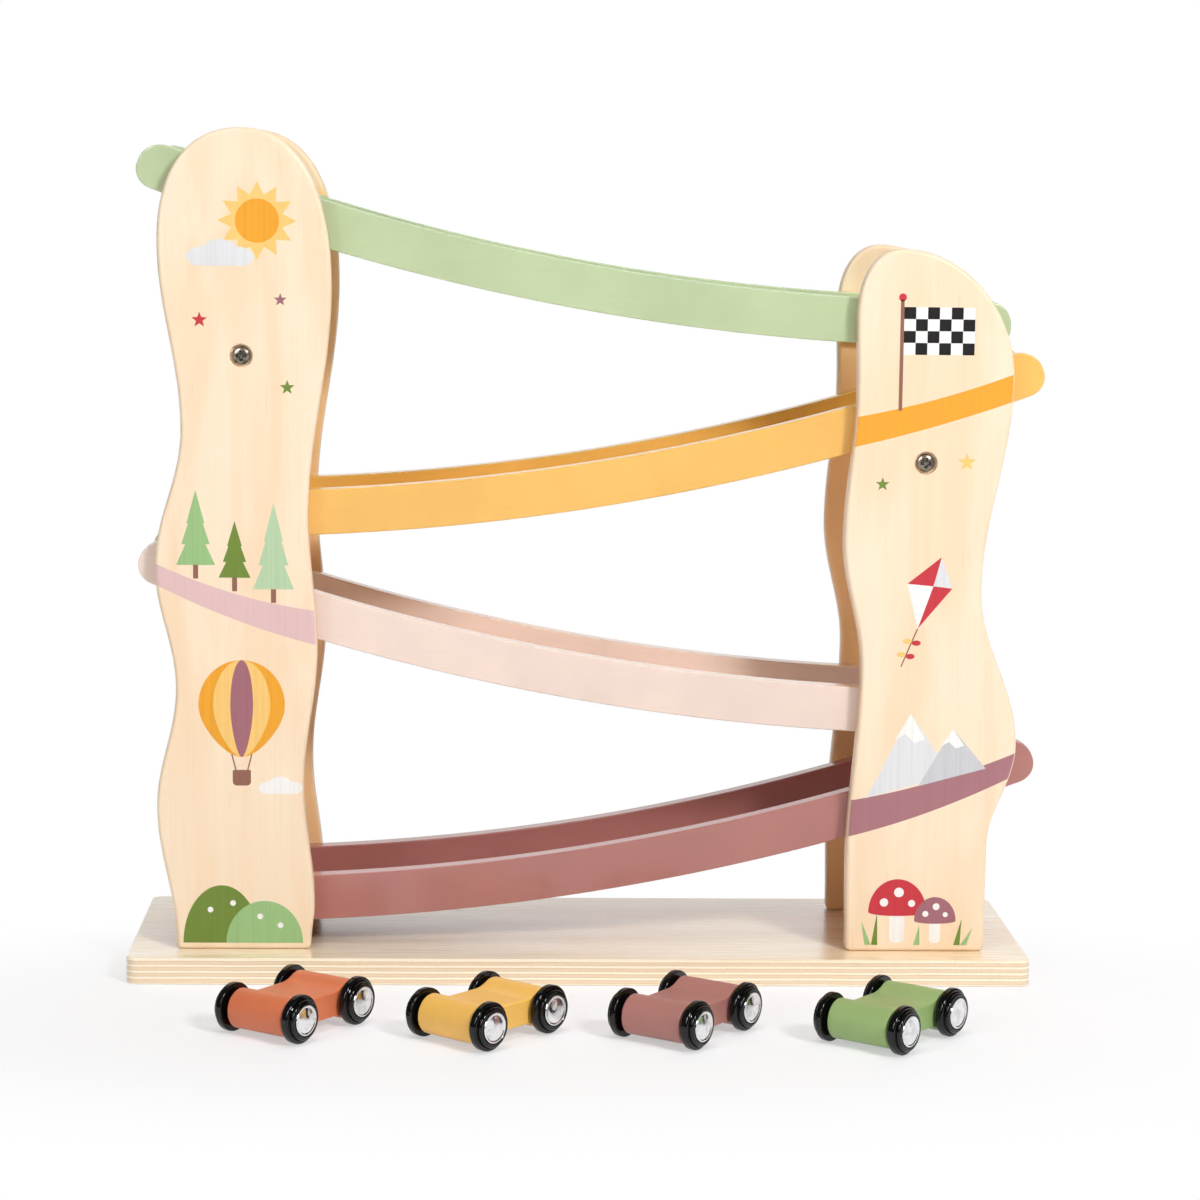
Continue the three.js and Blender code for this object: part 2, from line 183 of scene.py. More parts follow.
def signed_area(outline: Array) -> float:
    """Area of an outline by the shoelace sum, positive where it runs anticlockwise."""
    after = np.roll(outline, -1, 0)
    return float(np.sum(outline[:, 0] * after[:, 1] - after[:, 0] * outline[:, 1]) / 2)


def filled(loops: Sequence[Array]) -> Array:
    """Triangles that fill an outline around its holes.

    Args:
        loops: the outline and then each hole, as points in a plane.

    Returns:
        Anticlockwise triangles that number the points of all the loops in order.
    """
    flat = np.concatenate(loops)
    solid = [np.column_stack([loop, np.zeros(len(loop))]).tolist() for loop in loops]
    made = np.array(tessellate_polygon(solid))
    corner = flat[made]
    side, other = corner[:, 1] - corner[:, 0], corner[:, 2] - corner[:, 0]
    area = side[:, 0] * other[:, 1] - side[:, 1] * other[:, 0]
    return np.where((area < 0)[:, None], made[:, ::-1], made)[np.abs(area) > 1e-9]


def plate(
    outline: Array,
    low: float,
    high: float,
    radius: float = 0,
    steps: int = 6,
    bores: Sequence[Bore] = (),
) -> Shell:
    """A board of one outline between two depths, its rims rounded over.

    Ring k is the outline drawn in by radius * (1 - sin a), at radius * (1 - cos a) from a face, for
    angles a from 0 to 90 degrees at the low face and back again at the high one. Each face is
    filled around its bores.

    Args:
        outline: points across and up.
        low: depth of the first face.
        high: depth of the second face.
        radius: radius of the rounded rims.
        steps: rings in each rounded rim.
        bores: holes in the two faces.

    Returns:
        The closed board.
    """
    outline = outline if signed_area(outline) > 0 else outline[::-1]
    count = len(outline)
    angle = np.linspace(0, np.pi / 2, steps + 1) if radius else np.array([np.pi / 2])
    inset, depth = radius * (1 - np.sin(angle)), radius * (1 - np.cos(angle))
    inset, tilt = np.concatenate([inset, inset[::-1]]), np.concatenate([angle, angle[::-1]])
    level = np.concatenate([low + depth, (high - depth)[::-1]])
    facing = np.repeat([-1.0, 1.0], len(angle))
    side = outward(outline)
    rings = len(level)
    ring_points = np.empty((rings, count, 3))
    ring_points[..., :2] = outline - inset[:, None, None] * side
    ring_points[..., 2] = level[:, None]
    ring_normals = np.zeros((rings, count, 3))
    if radius:
        ring_normals[..., :2] = np.sin(tilt)[:, None, None] * side
        ring_normals[..., 2] = (facing * np.cos(tilt))[:, None]
    points, normals = [ring_points.reshape(-1, 3)], [ring_normals.reshape(-1, 3)]
    edge = [np.repeat(tilt / (np.pi / 2) if radius else np.ones(rings), count)]
    quads, triangles = [strip_quads(rings, count)], []
    total = rings * count
    turn = np.linspace(0, 2 * np.pi, BORE_SIDES, endpoint=False)
    circle = paired(np.cos(turn), np.sin(turn))
    for is_high, face, first in ((False, low, 0), (True, high, (rings - 1) * count)):
        order = 1 if is_high else -1
        loops, numbers = [ring_points[first // count, :, :2]], [first + np.arange(count)]
        for bore in (each for each in bores if each.in_high_face == is_high):
            rows = np.array(bore.rows)
            deep = len(rows) - 1
            added = deep * BORE_SIDES + 1
            wall = np.empty((deep, BORE_SIDES, 3))
            wall[..., :2] = bore.centre + rows[:-1, None, None, 0] * circle
            wall[..., 2] = (face - order * rows[:-1, 1])[:, None]
            points += [wall.reshape(-1, 3), np.array([[*bore.centre, face - order * rows[-1, 1]]])]
            normals.append(np.zeros((added, 3)))
            edge.append(np.zeros(added))
            loops.append(wall[0, :, :2])
            numbers.append(total + np.arange(BORE_SIDES))
            quads.append(strip_quads(deep, BORE_SIDES)[:, ::order] + total)
            last = total + (deep - 1) * BORE_SIDES + np.arange(BORE_SIDES)
            pole = np.full(BORE_SIDES, total + added - 1)
            triangles.append(np.stack([last, np.roll(last, -1), pole], -1)[:, ::order])
            total += added
        triangles.append(np.concatenate(numbers)[filled(loops)][:, ::order])
    return Shell(*map(np.concatenate, (points, quads, triangles, normals, edge)))


def turned(rows: Sequence[Pair], sides: int, dent: Optional[Dent] = None) -> Shell:
    """A profile turned about its own axis: point (k, j) is at radius rows[k] and angle 2 pi j / sides.

    Args:
        rows: [radius, depth] from the low pole to the high one, or round a closed loop that starts
            and ends alike.
        sides: points in each ring.
        dent: depth taken off the points past the widest row, from their two cross coordinates.

    Returns:
        The closed turned piece.
    """
    profile = np.array(rows, float)
    looped = bool(np.allclose(profile[0], profile[-1]))
    ring = profile[:-1] if looped else profile[1:-1]
    angle = np.linspace(0, 2 * np.pi, sides, endpoint=False)
    grid = np.empty((len(ring), sides, 3))
    grid[..., 0] = ring[:, :1] * np.cos(angle)
    grid[..., 1] = ring[:, :1] * np.sin(angle)
    grid[..., 2] = ring[:, 1:]
    top = profile[-1, 1]
    if dent is not None:
        crown = np.arange(len(ring)) > np.flatnonzero(ring[:, 0] == ring[:, 0].max())[-1]
        grid[crown, :, 2] -= dent(grid[crown, :, 0], grid[crown, :, 1])
        top -= float(dent(np.zeros(1), np.zeros(1))[0])
    points = grid.reshape(-1, 3)
    quads = strip_quads(len(ring), sides, looped)
    triangles = np.empty((0, 3), int)
    if not looped:
        low, high = len(points), len(points) + 1
        points = np.concatenate([points, [[0, 0, profile[0, 1]], [0, 0, top]]])
        first, last = np.arange(sides), (len(ring) - 1) * sides + np.arange(sides)
        foot = np.stack([np.roll(first, -1), first, np.full(sides, low)], -1)
        head = np.stack([last, np.roll(last, -1), np.full(sides, high)], -1)
        triangles = np.concatenate([foot, head])
    return Shell(points, quads, triangles, np.zeros_like(points), np.zeros(len(points)))


def bezier(handles: Array, steps: int) -> Array:
    """Points of cubic curves in a row, each the sum of its handles times their Bernstein shares.

    Args:
        handles: curves by 4 by 2.
        steps: points on each curve, its end left to the next one.

    Returns:
        The points in order.
    """
    t = np.linspace(0, 1, steps, endpoint=False)[None, :, None]
    a, b, c, d = (handles[:, None, i] for i in range(4))
    s = 1 - t
    return (s**3 * a + 3 * s**2 * t * b + 3 * s * t**2 * c + t**3 * d).reshape(-1, 2)


def arc(centre: Pair, radius: float, start: float, end: float, steps: int) -> Array:
    """Points of a circular arc between two angles in radians, its end left out."""
    angle = np.linspace(start, end, steps, endpoint=False)
    return np.array(centre) + radius * paired(np.cos(angle), np.sin(angle))


def rounded_strip(
    low: Pair,
    high: Pair,
    low_radius: float,
    high_radius: float,
    corner_steps: int = 14,
    side_steps: int = 2,
) -> Array:
    """Outline of a rectangle whose lower and upper corners are quarter circles of two radii.

    Args:
        low: its lowest corner.
        high: its highest corner.
        low_radius: radius of the two lower corners.
        high_radius: radius of the two upper corners.
        corner_steps: points on each corner.
        side_steps: points on the lower and on the upper side.

    Returns:
        The outline, anticlockwise.
    """
    quarter = np.pi / 2
    (left, bottom), (right, top) = low, high
    across = np.linspace(0, 1, side_steps + 2)[1:-1, None]
    lower = np.array([[left + low_radius, bottom]]) + across * [right - left - 2 * low_radius, 0]
    upper = np.array([[right - high_radius, top]]) - across * [right - left - 2 * high_radius, 0]

    def corner(x: float, z: float, radius: float, turn: int) -> Array:
        """Quarter circle number turn, counted from the lower right, with its end point."""
        angle = np.linspace(turn * quarter, (turn + 1) * quarter, corner_steps + 1)
        return np.array([x, z]) + radius * paired(np.cos(angle), np.sin(angle))

    return np.concatenate(
        [
            lower,
            corner(right - low_radius, bottom + low_radius, low_radius, -1),
            corner(right - high_radius, top - high_radius, high_radius, 0),
            upper,
            corner(left + high_radius, top - high_radius, high_radius, 1),
            corner(left + low_radius, bottom + low_radius, low_radius, 2),
        ]
    )


class Axis(Enum):
    """A direction of the frame, as the name of its coordinate."""

    X = "X"
    Y = "Y"
    Z = "Z"

    def stretched(self, share: float) -> Triple:
        """Scale that draws a pattern out along this axis."""
        return tuple(share if axis is self else 1.0 for axis in Axis)


class Bench:
    """A node tree being wired: short calls that add a node and return the socket it gives."""

    def __init__(
        self,
        owner: Union[bpy.types.Material, bpy.types.World],
        shader: str = "Principled BSDF",
        place: str = "Object",
    ) -> None:
        """Starts on a new material or world.

        Args:
            owner: what the nodes belong to.
            shader: name of the shader that it starts with.
            place: the coordinates that its patterns follow.
        """
        owner.use_nodes = True
        self.owner = owner
        self.nodes, self.links = owner.node_tree.nodes, owner.node_tree.links
        self.shader = self.nodes[shader]
        self.place = self.nodes.new("ShaderNodeTexCoord").outputs[place]

    @classmethod
    def material(cls, name: str) -> "Bench":
        """Starts a new material."""
        return cls(bpy.data.materials.new(name))

    def feed(self, socket: Socket, value: Value) -> None:
        """Links a socket into another, or sets it to a constant."""
        if isinstance(value, bpy.types.NodeSocket):
            self.links.new(value, socket)
        else:
            socket.default_value = value

    def add(self, kind: str, inputs: Inputs, **settings: object) -> bpy.types.Node:
        """Adds a node, sets it up and feeds its inputs.

        Args:
            kind: Blender's name of the node.
            inputs: values or sockets by input name or number.
            settings: the node's own properties.

        Returns:
            The node.
        """
        node = self.nodes.new(kind)
        for key, value in settings.items():
            setattr(node, key, value)
        for key, value in inputs.items():
            self.feed(node.inputs[key], value)
        return node

    def maths(self, operation: str, *values: Value) -> Socket:
        """Adds a Math node on one, two or three values."""
        return self.add("ShaderNodeMath", dict(enumerate(values)), operation=operation).outputs[0]

    def drawn_out(self, scale: Sequence[float], shift: Sequence[float] = (0, 0, 0)) -> Socket:
        """Coordinates scaled along the axes and shifted, for patterns that run one way."""
        inputs = {"Vector": self.place, "Scale": scale, "Location": shift}
        return self.add("ShaderNodeMapping", inputs).outputs[0]

    def noise(
        self, vector: Socket, scale: float, detail: float = 3, distortion: float = 0
    ) -> Socket:
        """Adds a noise whose features are about 1 / scale metres across."""
        inputs = {"Vector": vector, "Scale": scale, "Detail": detail, "Distortion": distortion}
        return self.add("ShaderNodeTexNoise", inputs).outputs["Fac"]

    def streaks(self, grain: Axis, stretch: float, *settings: float) -> Socket:
        """Adds a noise drawn out along the grain."""
        return self.noise(self.drawn_out(grain.stretched(stretch)), *settings)

    def eased(
        self, value: Socket, low: float, high: float, to_low: float = 0, to_high: float = 1
    ) -> Socket:
        """Maps a range onto another along a smooth step."""
        inputs = {"Value": value, "From Min": low, "From Max": high}
        inputs |= {"To Min": to_low, "To Max": to_high}
        smooth = {"interpolation_type": "SMOOTHSTEP"}
        return self.add("ShaderNodeMapRange", inputs, **smooth).outputs[0]

    def mix(self, share: Value, first: Value, second: Value, blend: str = "MIX") -> Socket:
        """Mixes two colours, each a socket or an sRGB triple."""
        pair = [linear(each) if isinstance(each, tuple) else each for each in (first, second)]
        inputs = {0: share, 6: pair[0], 7: pair[1]}
        return self.add("ShaderNodeMix", inputs, data_type="RGBA", blend_type=blend).outputs[2]

    def ramp(self, value: Socket, stops: Sequence[tuple[float, Colour]]) -> Socket:
        """Adds a colour ramp of (position, sRGB colour) stops."""
        node = self.add("ShaderNodeValToRGB", {"Fac": value})
        elements = node.color_ramp.elements
        for position, _ in stops[2:]:
            elements.new(position)
        for element, (position, colour) in zip(elements, stops):
            element.position, element.color = position, linear(colour)
        return node.outputs["Color"]

    def part_of_place(self, axis: Axis) -> Socket:
        """One of the coordinates."""
        return self.add("ShaderNodeSeparateXYZ", {0: self.place}).outputs[axis.value]

    def attribute(self, name: str, output: str = "Fac") -> Socket:
        """A value that the mesh carries at each point."""
        return self.add("ShaderNodeAttribute", {}, attribute_name=name).outputs[output]

    def dress(self, **inputs: Value) -> None:
        """Feeds the shader's inputs, named with underscores for spaces."""
        for key, value in inputs.items():
            self.feed(self.shader.inputs[key.replace("_", " ")], value)

    def bump(self, height: Socket, strength: float, depth: float) -> None:
        """Raises the surface by a height map of that depth in millimetres."""
        inputs = {"Height": height, "Strength": strength, "Distance": depth * MM}
        self.feed(self.shader.inputs["Normal"], self.add("ShaderNodeBump", inputs).outputs[0])


@dataclass(frozen=True)
class Band:
    """A plain printed band across a panel: its edges' heights at -reach, 0 and reach off centre."""

    top: Triple
    bottom: Triple
    ink: Colour
    reach: float = 30.0
    blur: float = 0.05

    def parabola(self, heights: Triple) -> Triple:
        """Constant, slope and curvature, in metres, of the curve through three heights."""
        left, middle, right = (height * MM for height in heights)
        span = self.reach * MM
        return middle, (right - left) / (2 * span), (right + left - 2 * middle) / (2 * span**2)

    def mask(self, bench: Bench, centre: float) -> Socket:
        """1 between the band's two edges and 0 outside, over a tenth of a millimetre."""
        across = bench.maths("SUBTRACT", bench.part_of_place(Axis.X), centre * MM)
        height = bench.part_of_place(Axis.Z)
        masks = []
        for heights, sign in ((self.top, -1.0), (self.bottom, 1.0)):
            constant, slope, curve = self.parabola(heights)
            line = bench.maths("MULTIPLY_ADD", across, curve, slope)
            line = bench.maths("MULTIPLY_ADD", across, line, constant)
            past = bench.maths("MULTIPLY", bench.maths("SUBTRACT", height, line), sign)
            masks.append(bench.eased(past, -self.blur * MM, self.blur * MM))
        return bench.maths("MULTIPLY", *masks)


@dataclass(frozen=True)
class Veneer:
    """Lacquered birch plywood: a veneered face, and plies that show along its sides."""

    name: str
    pale: Colour
    deep: Colour
    grain: Axis
    through: Axis
    face: float
    ply: float
    roughness: float = 0.42
    coat: float = 0.12
    line: Colour = (196, 150, 104)
    knot: Colour = (168, 112, 66)
    # Depth of the inner face, and the warm brown painted on it as shade between the panels
    inside: Optional[float] = None
    painted_shade_colour: Colour = (246, 200, 138)

    def material(
        self, centre: float = 0, bands: Sequence[Band] = (), suffix: str = "", shade: float = 0
    ) -> bpy.types.Material:
        """Wires the veneer: figure, fibres and flecks along the grain, plies on the sides, then bands.

        Args:
            centre: X of the panel's centre line, in millimetres.
            bands: bands printed across the face.
            suffix: added to the material's name.
            shade: height, in millimetres, up to which the inner face carries painted warm shade.

        Returns:
            The material.
        """
        bench = Bench.material(self.name + suffix)
        figure = bench.streaks(self.grain, 0.16, 46, 4, 1.1)
        fibre = bench.streaks(self.grain, 0.02, 1000, 4)
        fleck = bench.streaks(self.grain, 0.07, 420, 2)
        colour = bench.mix(bench.eased(figure, 0.36, 0.7), self.pale, self.deep)
        colour = bench.mix(bench.eased(fibre, 0.45, 0.8, 0, 0.26), colour, toned(self.deep, 0.95))
        colour = bench.mix(bench.eased(fleck, 0.64, 0.76, 0, 0.14), colour, self.line)
        knots = {"Vector": bench.drawn_out(self.grain.stretched(0.7)), "Scale": 19}
        cells = bench.add("ShaderNodeTexVoronoi", knots)
        spot = bench.eased(cells.outputs["Distance"], 0.012, 0.045, 0.6, 0)
        colour = bench.mix(spot, colour, self.knot)
        # Painted shade: the panels' inner faces, up to the shade height, are tinted warm brown
        if self.inside is not None:
            depth = bench.maths("ABSOLUTE", bench.part_of_place(self.through))
            back = bench.eased(depth, (self.inside + 0.3) * MM, (self.inside + 1.2) * MM, 0.85, 0)
            height = bench.part_of_place(Axis.Z)
            low = bench.eased(height, shade * MM, (shade + 6) * MM, 1, 0.15)
            colour = bench.mix(bench.maths("MULTIPLY", back, low), colour, self.painted_shade_colour)
        edge = bench.attribute("edge")
        colour = bench.mix(bench.eased(edge, 0.45, 0.95), colour, self.plies(bench))
        for band in bands:
            face = bench.eased(edge, 0.3, 0.75, 1, 0)
            ink = bench.mix(bench.eased(fibre, 0.4, 0.75), band.ink, toned(band.ink, 0.98))
            colour = bench.mix(bench.maths("MULTIPLY", band.mask(bench, centre), face), colour, ink)
        rough = bench.eased(fibre, 0.3, 0.7, self.roughness - 0.05, self.roughness + 0.06)
        bench.dress(Base_Color=colour, Roughness=rough, Coat_Weight=self.coat, Coat_Roughness=0.22)
        bench.bump(bench.maths("ADD", fibre, bench.maths("MULTIPLY", fleck, 0.6)), 0.12, 0.12)
        return bench.owner

    def plies(self, bench: Bench) -> Socket:
        """Alternating plies along the thickness, parted by glue lines and waved a little by noise."""
        depth = bench.maths("SUBTRACT", bench.part_of_place(self.through), self.face * MM)
        wave = bench.noise(bench.place, 40, 2)
        lifted = bench.maths("MULTIPLY_ADD", wave, 0.35 * self.ply * MM, depth)
        turn = bench.maths("FRACT", bench.maths("DIVIDE", lifted, 2 * self.ply * MM))
        end_grain = toned(self.deep, 0.95)
        stops = [(0.0, self.line), (0.07, self.pale), (0.42, self.pale), (0.5, self.line)]
        stops += [(0.57, end_grain), (0.93, end_grain), (1.0, self.line)]
        speck = bench.eased(bench.streaks(self.through, 3.0, 700, 2), 0.55, 0.8, 0, 0.35)
        return bench.mix(speck, bench.ramp(turn, stops), self.line)


@dataclass(frozen=True)
class Paint:
    """Satin paint on wood: the grain telegraphs through it, and it thins a little along the edges."""

    name: str
    colour: Colour
    grain: Axis = Axis.X
    roughness: float = 0.4
    coat: float = 0.1

    def material(self) -> bpy.types.Material:
        """Wires the paint: drifting tone, fibres, thinned edges, and a fine bump."""
        bench = Bench.material(self.name)
        dull, bright, thin, dark = (toned(self.colour, gain) for gain in (0.975, 1.015, 1.12, 0.95))
        drift = bench.noise(bench.place, 22, 3)
        fibre = bench.streaks(self.grain, 0.03, 800, 3)
        colour = bench.mix(bench.eased(drift, 0.3, 0.7), dull, bright)
        colour = bench.mix(bench.eased(fibre, 0.5, 0.8, 0, 0.3), colour, dark)
        edge = bench.attribute("edge")
        rise, fall = bench.eased(edge, 0.15, 0.5), bench.eased(edge, 0.5, 0.9, 1, 0)
        wear = bench.eased(bench.noise(bench.place, 260, 3), 0.4, 0.62, 0.1, 0.5)
        rim = bench.maths("MULTIPLY", bench.maths("MULTIPLY", rise, fall), wear)
        colour = bench.mix(rim, colour, thin)
        rough = bench.eased(drift, 0.3, 0.7, self.roughness - 0.05, self.roughness + 0.05)
        bench.dress(Base_Color=colour, Roughness=rough, Coat_Weight=self.coat, Coat_Roughness=0.12)
        peel = bench.maths("MULTIPLY", bench.noise(bench.place, 1500, 2), 0.5)
        bench.bump(bench.maths("MULTIPLY_ADD", fibre, 0.7, peel), 0.14, 0.1)
        return bench.owner


@dataclass(frozen=True)
class Plastic:
    """Glossy moulded plastic with a few scuffs."""

    name: str
    colour: Colour
    roughness: float

    def material(self) -> bpy.types.Material:
        """Wires the plastic: scuffs that dull the gloss and lift the colour, over a faint texture."""
        bench = Bench.material(self.name)
        scuff = bench.eased(bench.streaks(Axis.Z, 0.2, 420, 4), 0.52, 0.78)
        colour = bench.mix(scuff, self.colour, toned(self.colour, 1.7))
        rough = bench.maths("MULTIPLY_ADD", scuff, 0.06, self.roughness)
        bench.dress(Base_Color=colour, Roughness=rough, Specular_IOR_Level=0.4)
        bench.bump(bench.noise(bench.place, 500, 2), 0.008, 0.05)
        return bench.owner


@dataclass(frozen=True)
class Metal:
    """Bright or plated metal with smudges and fine scratches."""

    name: str
    colour: Colour
    roughness: float
    tarnish: float

    def material(self) -> bpy.types.Material:
        """Wires the metal: smudges that darken and dull it, and a fine scratched bump."""
        bench = Bench.material(self.name)
        smudge = bench.eased(bench.noise(bench.place, 330, 4, 0.6), 0.42, 0.7)
        colour = bench.mix(smudge, self.colour, toned(self.colour, 1 - self.tarnish))
        rough = bench.maths("MULTIPLY_ADD", smudge, 0.12, self.roughness)
        bench.dress(Base_Color=colour, Roughness=rough, Metallic=1.0)
        bench.bump(bench.streaks(Axis.Y, 0.08, 1900, 2), 0.012, 0.05)
        return bench.owner


@dataclass(frozen=True)
class Ink:
    """Printing ink on veneer: each patch's own colour, with the wood's fibres showing in it."""

    name: str
    grain: Axis = Axis.Z
    clear: Colour = (255, 255, 255)
    veiled: Colour = (247, 246, 244)

    def material(self) -> bpy.types.Material:
        """Wires the ink: the patch's colour, lightened and darkened along the fibres."""
        bench = Bench.material(self.name)
        fibre = bench.streaks(self.grain, 0.02, 1000, 4)
        shade = bench.ramp(bench.eased(fibre, 0.35, 0.75), [(0.0, self.clear), (1.0, self.veiled)])
        colour = bench.mix(1.0, bench.attribute("ink", "Color"), shade, "MULTIPLY")
        rough = bench.eased(fibre, 0.3, 0.7, 0.4, 0.5)
        bench.dress(Base_Color=colour, Roughness=rough, Specular_IOR_Level=0.2)
        bench.bump(fibre, 0.06, 0.1)
        return bench.owner


def show(
    shell: Shell,
    name: str,
    material: bpy.types.Material,
    body: str,
    node: str = "",
    slot: str = "",
) -> None:
    """Makes a piece of the object from a shell, and hangs it on its CAD body.

    Args:
        shell: the piece's surface, in place.
        name: the piece's name.
        material: its finish.
        body: CAD body that it moves with.
        node: CAD node that it stands for, if any.
        slot: the record's material slot, if any; not used.
    """
    mesh = bpy.data.meshes.new(name)
    faces = [*shell.quads.tolist(), *shell.triangles.tolist()]
    mesh.from_pydata((shell.points * MM).tolist(), [], faces)
    mesh.polygons.foreach_set("use_smooth", np.ones(len(mesh.polygons), bool))
    mesh.set_sharp_from_angle(angle=SHARP)
    if shell.normals.any():
        corners = np.empty(len(mesh.loops), np.int32)
        mesh.loops.foreach_get("vertex_index", corners)
        mesh.normals_split_custom_set(shell.normals[corners].tolist())
    edge = mesh.attributes.new("edge", "FLOAT", "POINT")
    edge.data.foreach_set("value", shell.edge.astype(np.float32))
    if shell.ink is not None:
        colours = np.column_stack([shell.ink, np.ones(len(shell.ink))]).astype(np.float32)
        ink = mesh.attributes.new("ink", "FLOAT_COLOR", "POINT")
        ink.data.foreach_set("color", colours.ravel())
    mesh.materials.append(material)
    piece = bpy.data.objects.new(name, mesh)
    bpy.context.scene.collection.objects.link(piece)
    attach(piece, body)
    if node:
        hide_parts(node)
    log.info("%s: %d faces on %s", name, len(mesh.polygons), body)


@dataclass
class Board:
    """The base board: a plywood plate with rounded corners and a countersunk hole under each panel."""

    length: float = 400.0
    depth: float = 124.0
    thickness: float = 12.0
    corner: float = 5.0
    rim: float = 0.9
    sink: float = 0.6
    head: float = 4.3
    shank: float = 2.3
    cone: float = 2.6
    skin: float = 1.0
    finish: Veneer = Veneer(
        "base birch",
        pale=(255, 241, 216),
        deep=(250, 225, 188),
        grain=Axis.X,
        through=Axis.Z,
        face=0.0,
        ply=1.35,
        roughness=0.3,
        coat=1.0,
        line=(208, 168, 126),
    )

    def build(self, screws: Sequence[Pair]) -> None:
        """Makes the board.

        Args:
            screws: X and Y of the screws that come up through it.
        """
        half_x, half_y = self.length / 2, self.depth / 2
        outline = rounded_strip((-half_x, -half_y), (half_x, half_y), self.corner, self.corner)
        end = self.thickness - self.skin
        rows = ((self.head, 0.0), (self.head, self.sink), (self.shank, self.sink + self.cone))
        rows += ((self.shank, end), (0.0, end))
        holes = [Bore(place, rows, False) for place in screws]
        shell = plate(outline, 0, self.thickness, self.rim, 5, holes)
        show(shell, "base_board_plywood", self.finish.material(), TRACK, "base_board", "base_birch")


@dataclass
class Screw:
    """A cross-head screw: shank, head and driver recess, about its own axis with the head uppermost."""

    head: float
    seat: float
    wall: float
    dome: float
    tip: float
    cone: float = 0.0
    shank: float = 2.0
    point: float = 4.0
    arm_width: float = 0.58
    arm_length: float = 2.35
    arm_wall: float = 0.24
    arm_slope: float = 0.9
    recess: float = 1.5
    rim: tuple[float, ...] = (0.985, 0.96, 0.92, 0.86, 0.8, 0.74)
    sides: int = 96

    def cross(self, across: Array, up: Array) -> Array:
        """Depth of the driver recess: two crossed arms that slope in to the middle."""

        def arm(along: Array, aside: Array) -> Array:
            """One arm: full depth inside its width and length, easing to none over a short wall."""
            inside = self.arm_width + self.arm_wall / 2 - np.abs(aside)
            width = np.clip(inside / self.arm_wall, 0, 1)
            return width * np.clip((self.arm_length - np.abs(along)) / self.arm_slope, 0, 1)

        return self.recess * np.maximum(arm(across, up), arm(up, across))

    def shell(self) -> Shell:
        """Turns the screw: tip, shank, seat, head wall, then a domed or flat crown with the recess.

        Returns:
            The screw about its axis.
        """
        radius = np.concatenate([self.head * np.array(self.rim), np.linspace(2.7, 0.15, 20)])
        rise = self.seat + self.wall + self.dome * np.sqrt(1 - (radius / self.head) ** 2)
        rows = [(0.0, self.tip), (self.shank, self.tip + self.point)]
        rows += [(self.shank, self.seat - self.cone), (self.head, self.seat)]
        rows += [(self.head, self.seat + max(self.wall, 0.02)), *zip(radius.tolist(), rise.tolist())]
        return turned([*rows, (0.0, self.seat + self.wall + self.dome)], self.sides, self.cross)


@dataclass
class Patch:
    """One printed patch of a single ink: its outline on a panel's face and its layer of the print."""

    outline: Array
    ink: Colour
    layer: int = 0


class Motif:
    """Outlines of plain printed shapes, in millimetres across and up."""

    @staticmethod
    def disc(x: float, z: float, radius: float, height: float = 0, count: int = 48) -> Array:
        """A circle, or an ellipse where height is its other radius."""
        angle = np.linspace(0, 2 * np.pi, count, endpoint=False)
        return paired(x + radius * np.cos(angle), z + (height or radius) * np.sin(angle))

    @staticmethod
    def star(x: float, z: float, outer: float, inner: float, points: int) -> Array:
        """A star: its corners lie by turns on two circles."""
        number = np.arange(2 * points)
        angle = np.pi / 2 + number * np.pi / points
        radius = np.where(number % 2 == 0, outer, inner)
        return paired(x + radius * np.cos(angle), z + radius * np.sin(angle))

    @staticmethod
    def cloud(x: float, z: float, width: float, height: float) -> Array:
        """A cloud: an ellipse scalloped by the size of a cosine, cut level below."""
        angle = np.linspace(0, 2 * np.pi, 120, endpoint=False)
        puff = 0.8 + 0.2 * np.abs(np.cos(2.5 * (angle - np.pi / 2)))
        up = np.maximum(z + height * puff * np.sin(angle), z - 0.28 * height)
        return paired(x + width / 2 * puff * np.cos(angle), up)

    @staticmethod
    def pine(x: float, z: float, width: float, height: float, tiers: int = 3) -> Array:
        """A fir tree: tiers of triangles, each narrower and notched in under the one above."""
        level = np.arange(tiers)
        skirt = width / 2 * (1 - 0.27 * level)
        rise = height / (tiers + 0.6)
        skirts, notches = paired(skirt, z + rise * level), paired(0.52 * skirt, z + rise * (level + 1))
        right = np.stack([skirts, notches], 1).reshape(-1, 2)[:-1]
        right = np.concatenate([right, [[0, z + height]]])
        return np.concatenate([right, right[-2::-1] * [-1, 1]]) + [x, 0]

    @staticmethod
    def dome(x: float, z: float, width: float, height: float, sag: float = 0.12) -> Array:
        """A half ellipse with a slightly sagging lower side."""
        over, under = np.linspace(0, np.pi, 32), np.linspace(np.pi, 2 * np.pi, 14)[1:-1]
        top = paired(width / 2 * np.cos(over), height * np.sin(over))
        low = paired(width / 2 * np.cos(under), sag * height * np.sin(under))
        return np.concatenate([top, low]) + [x, z]

    @staticmethod
    def bar(start: Pair, end: Pair, width: float) -> Array:
        """A straight bar between two points."""
        first, last = np.array(start), np.array(end)
        along = (last - first) / np.linalg.norm(last - first)
        aside = np.array([-along[1], along[0]]) * width / 2
        return np.array([first - aside, last - aside, last + aside, first + aside])

    @staticmethod
    def gore(x: float, z: float, width: float, height: float) -> Array:
        """A balloon's envelope: a circle above, drawn in to a narrow mouth below."""
        angle = np.linspace(0, 2 * np.pi, 72, endpoint=False)
        drop = np.clip(-np.sin(angle), 0, 1)
        across = np.cos(angle) * (1 - 0.25 * drop**2)
        return paired(x + width / 2 * across, z + height / 2 * (np.sin(angle) - 0.16 * drop**2))


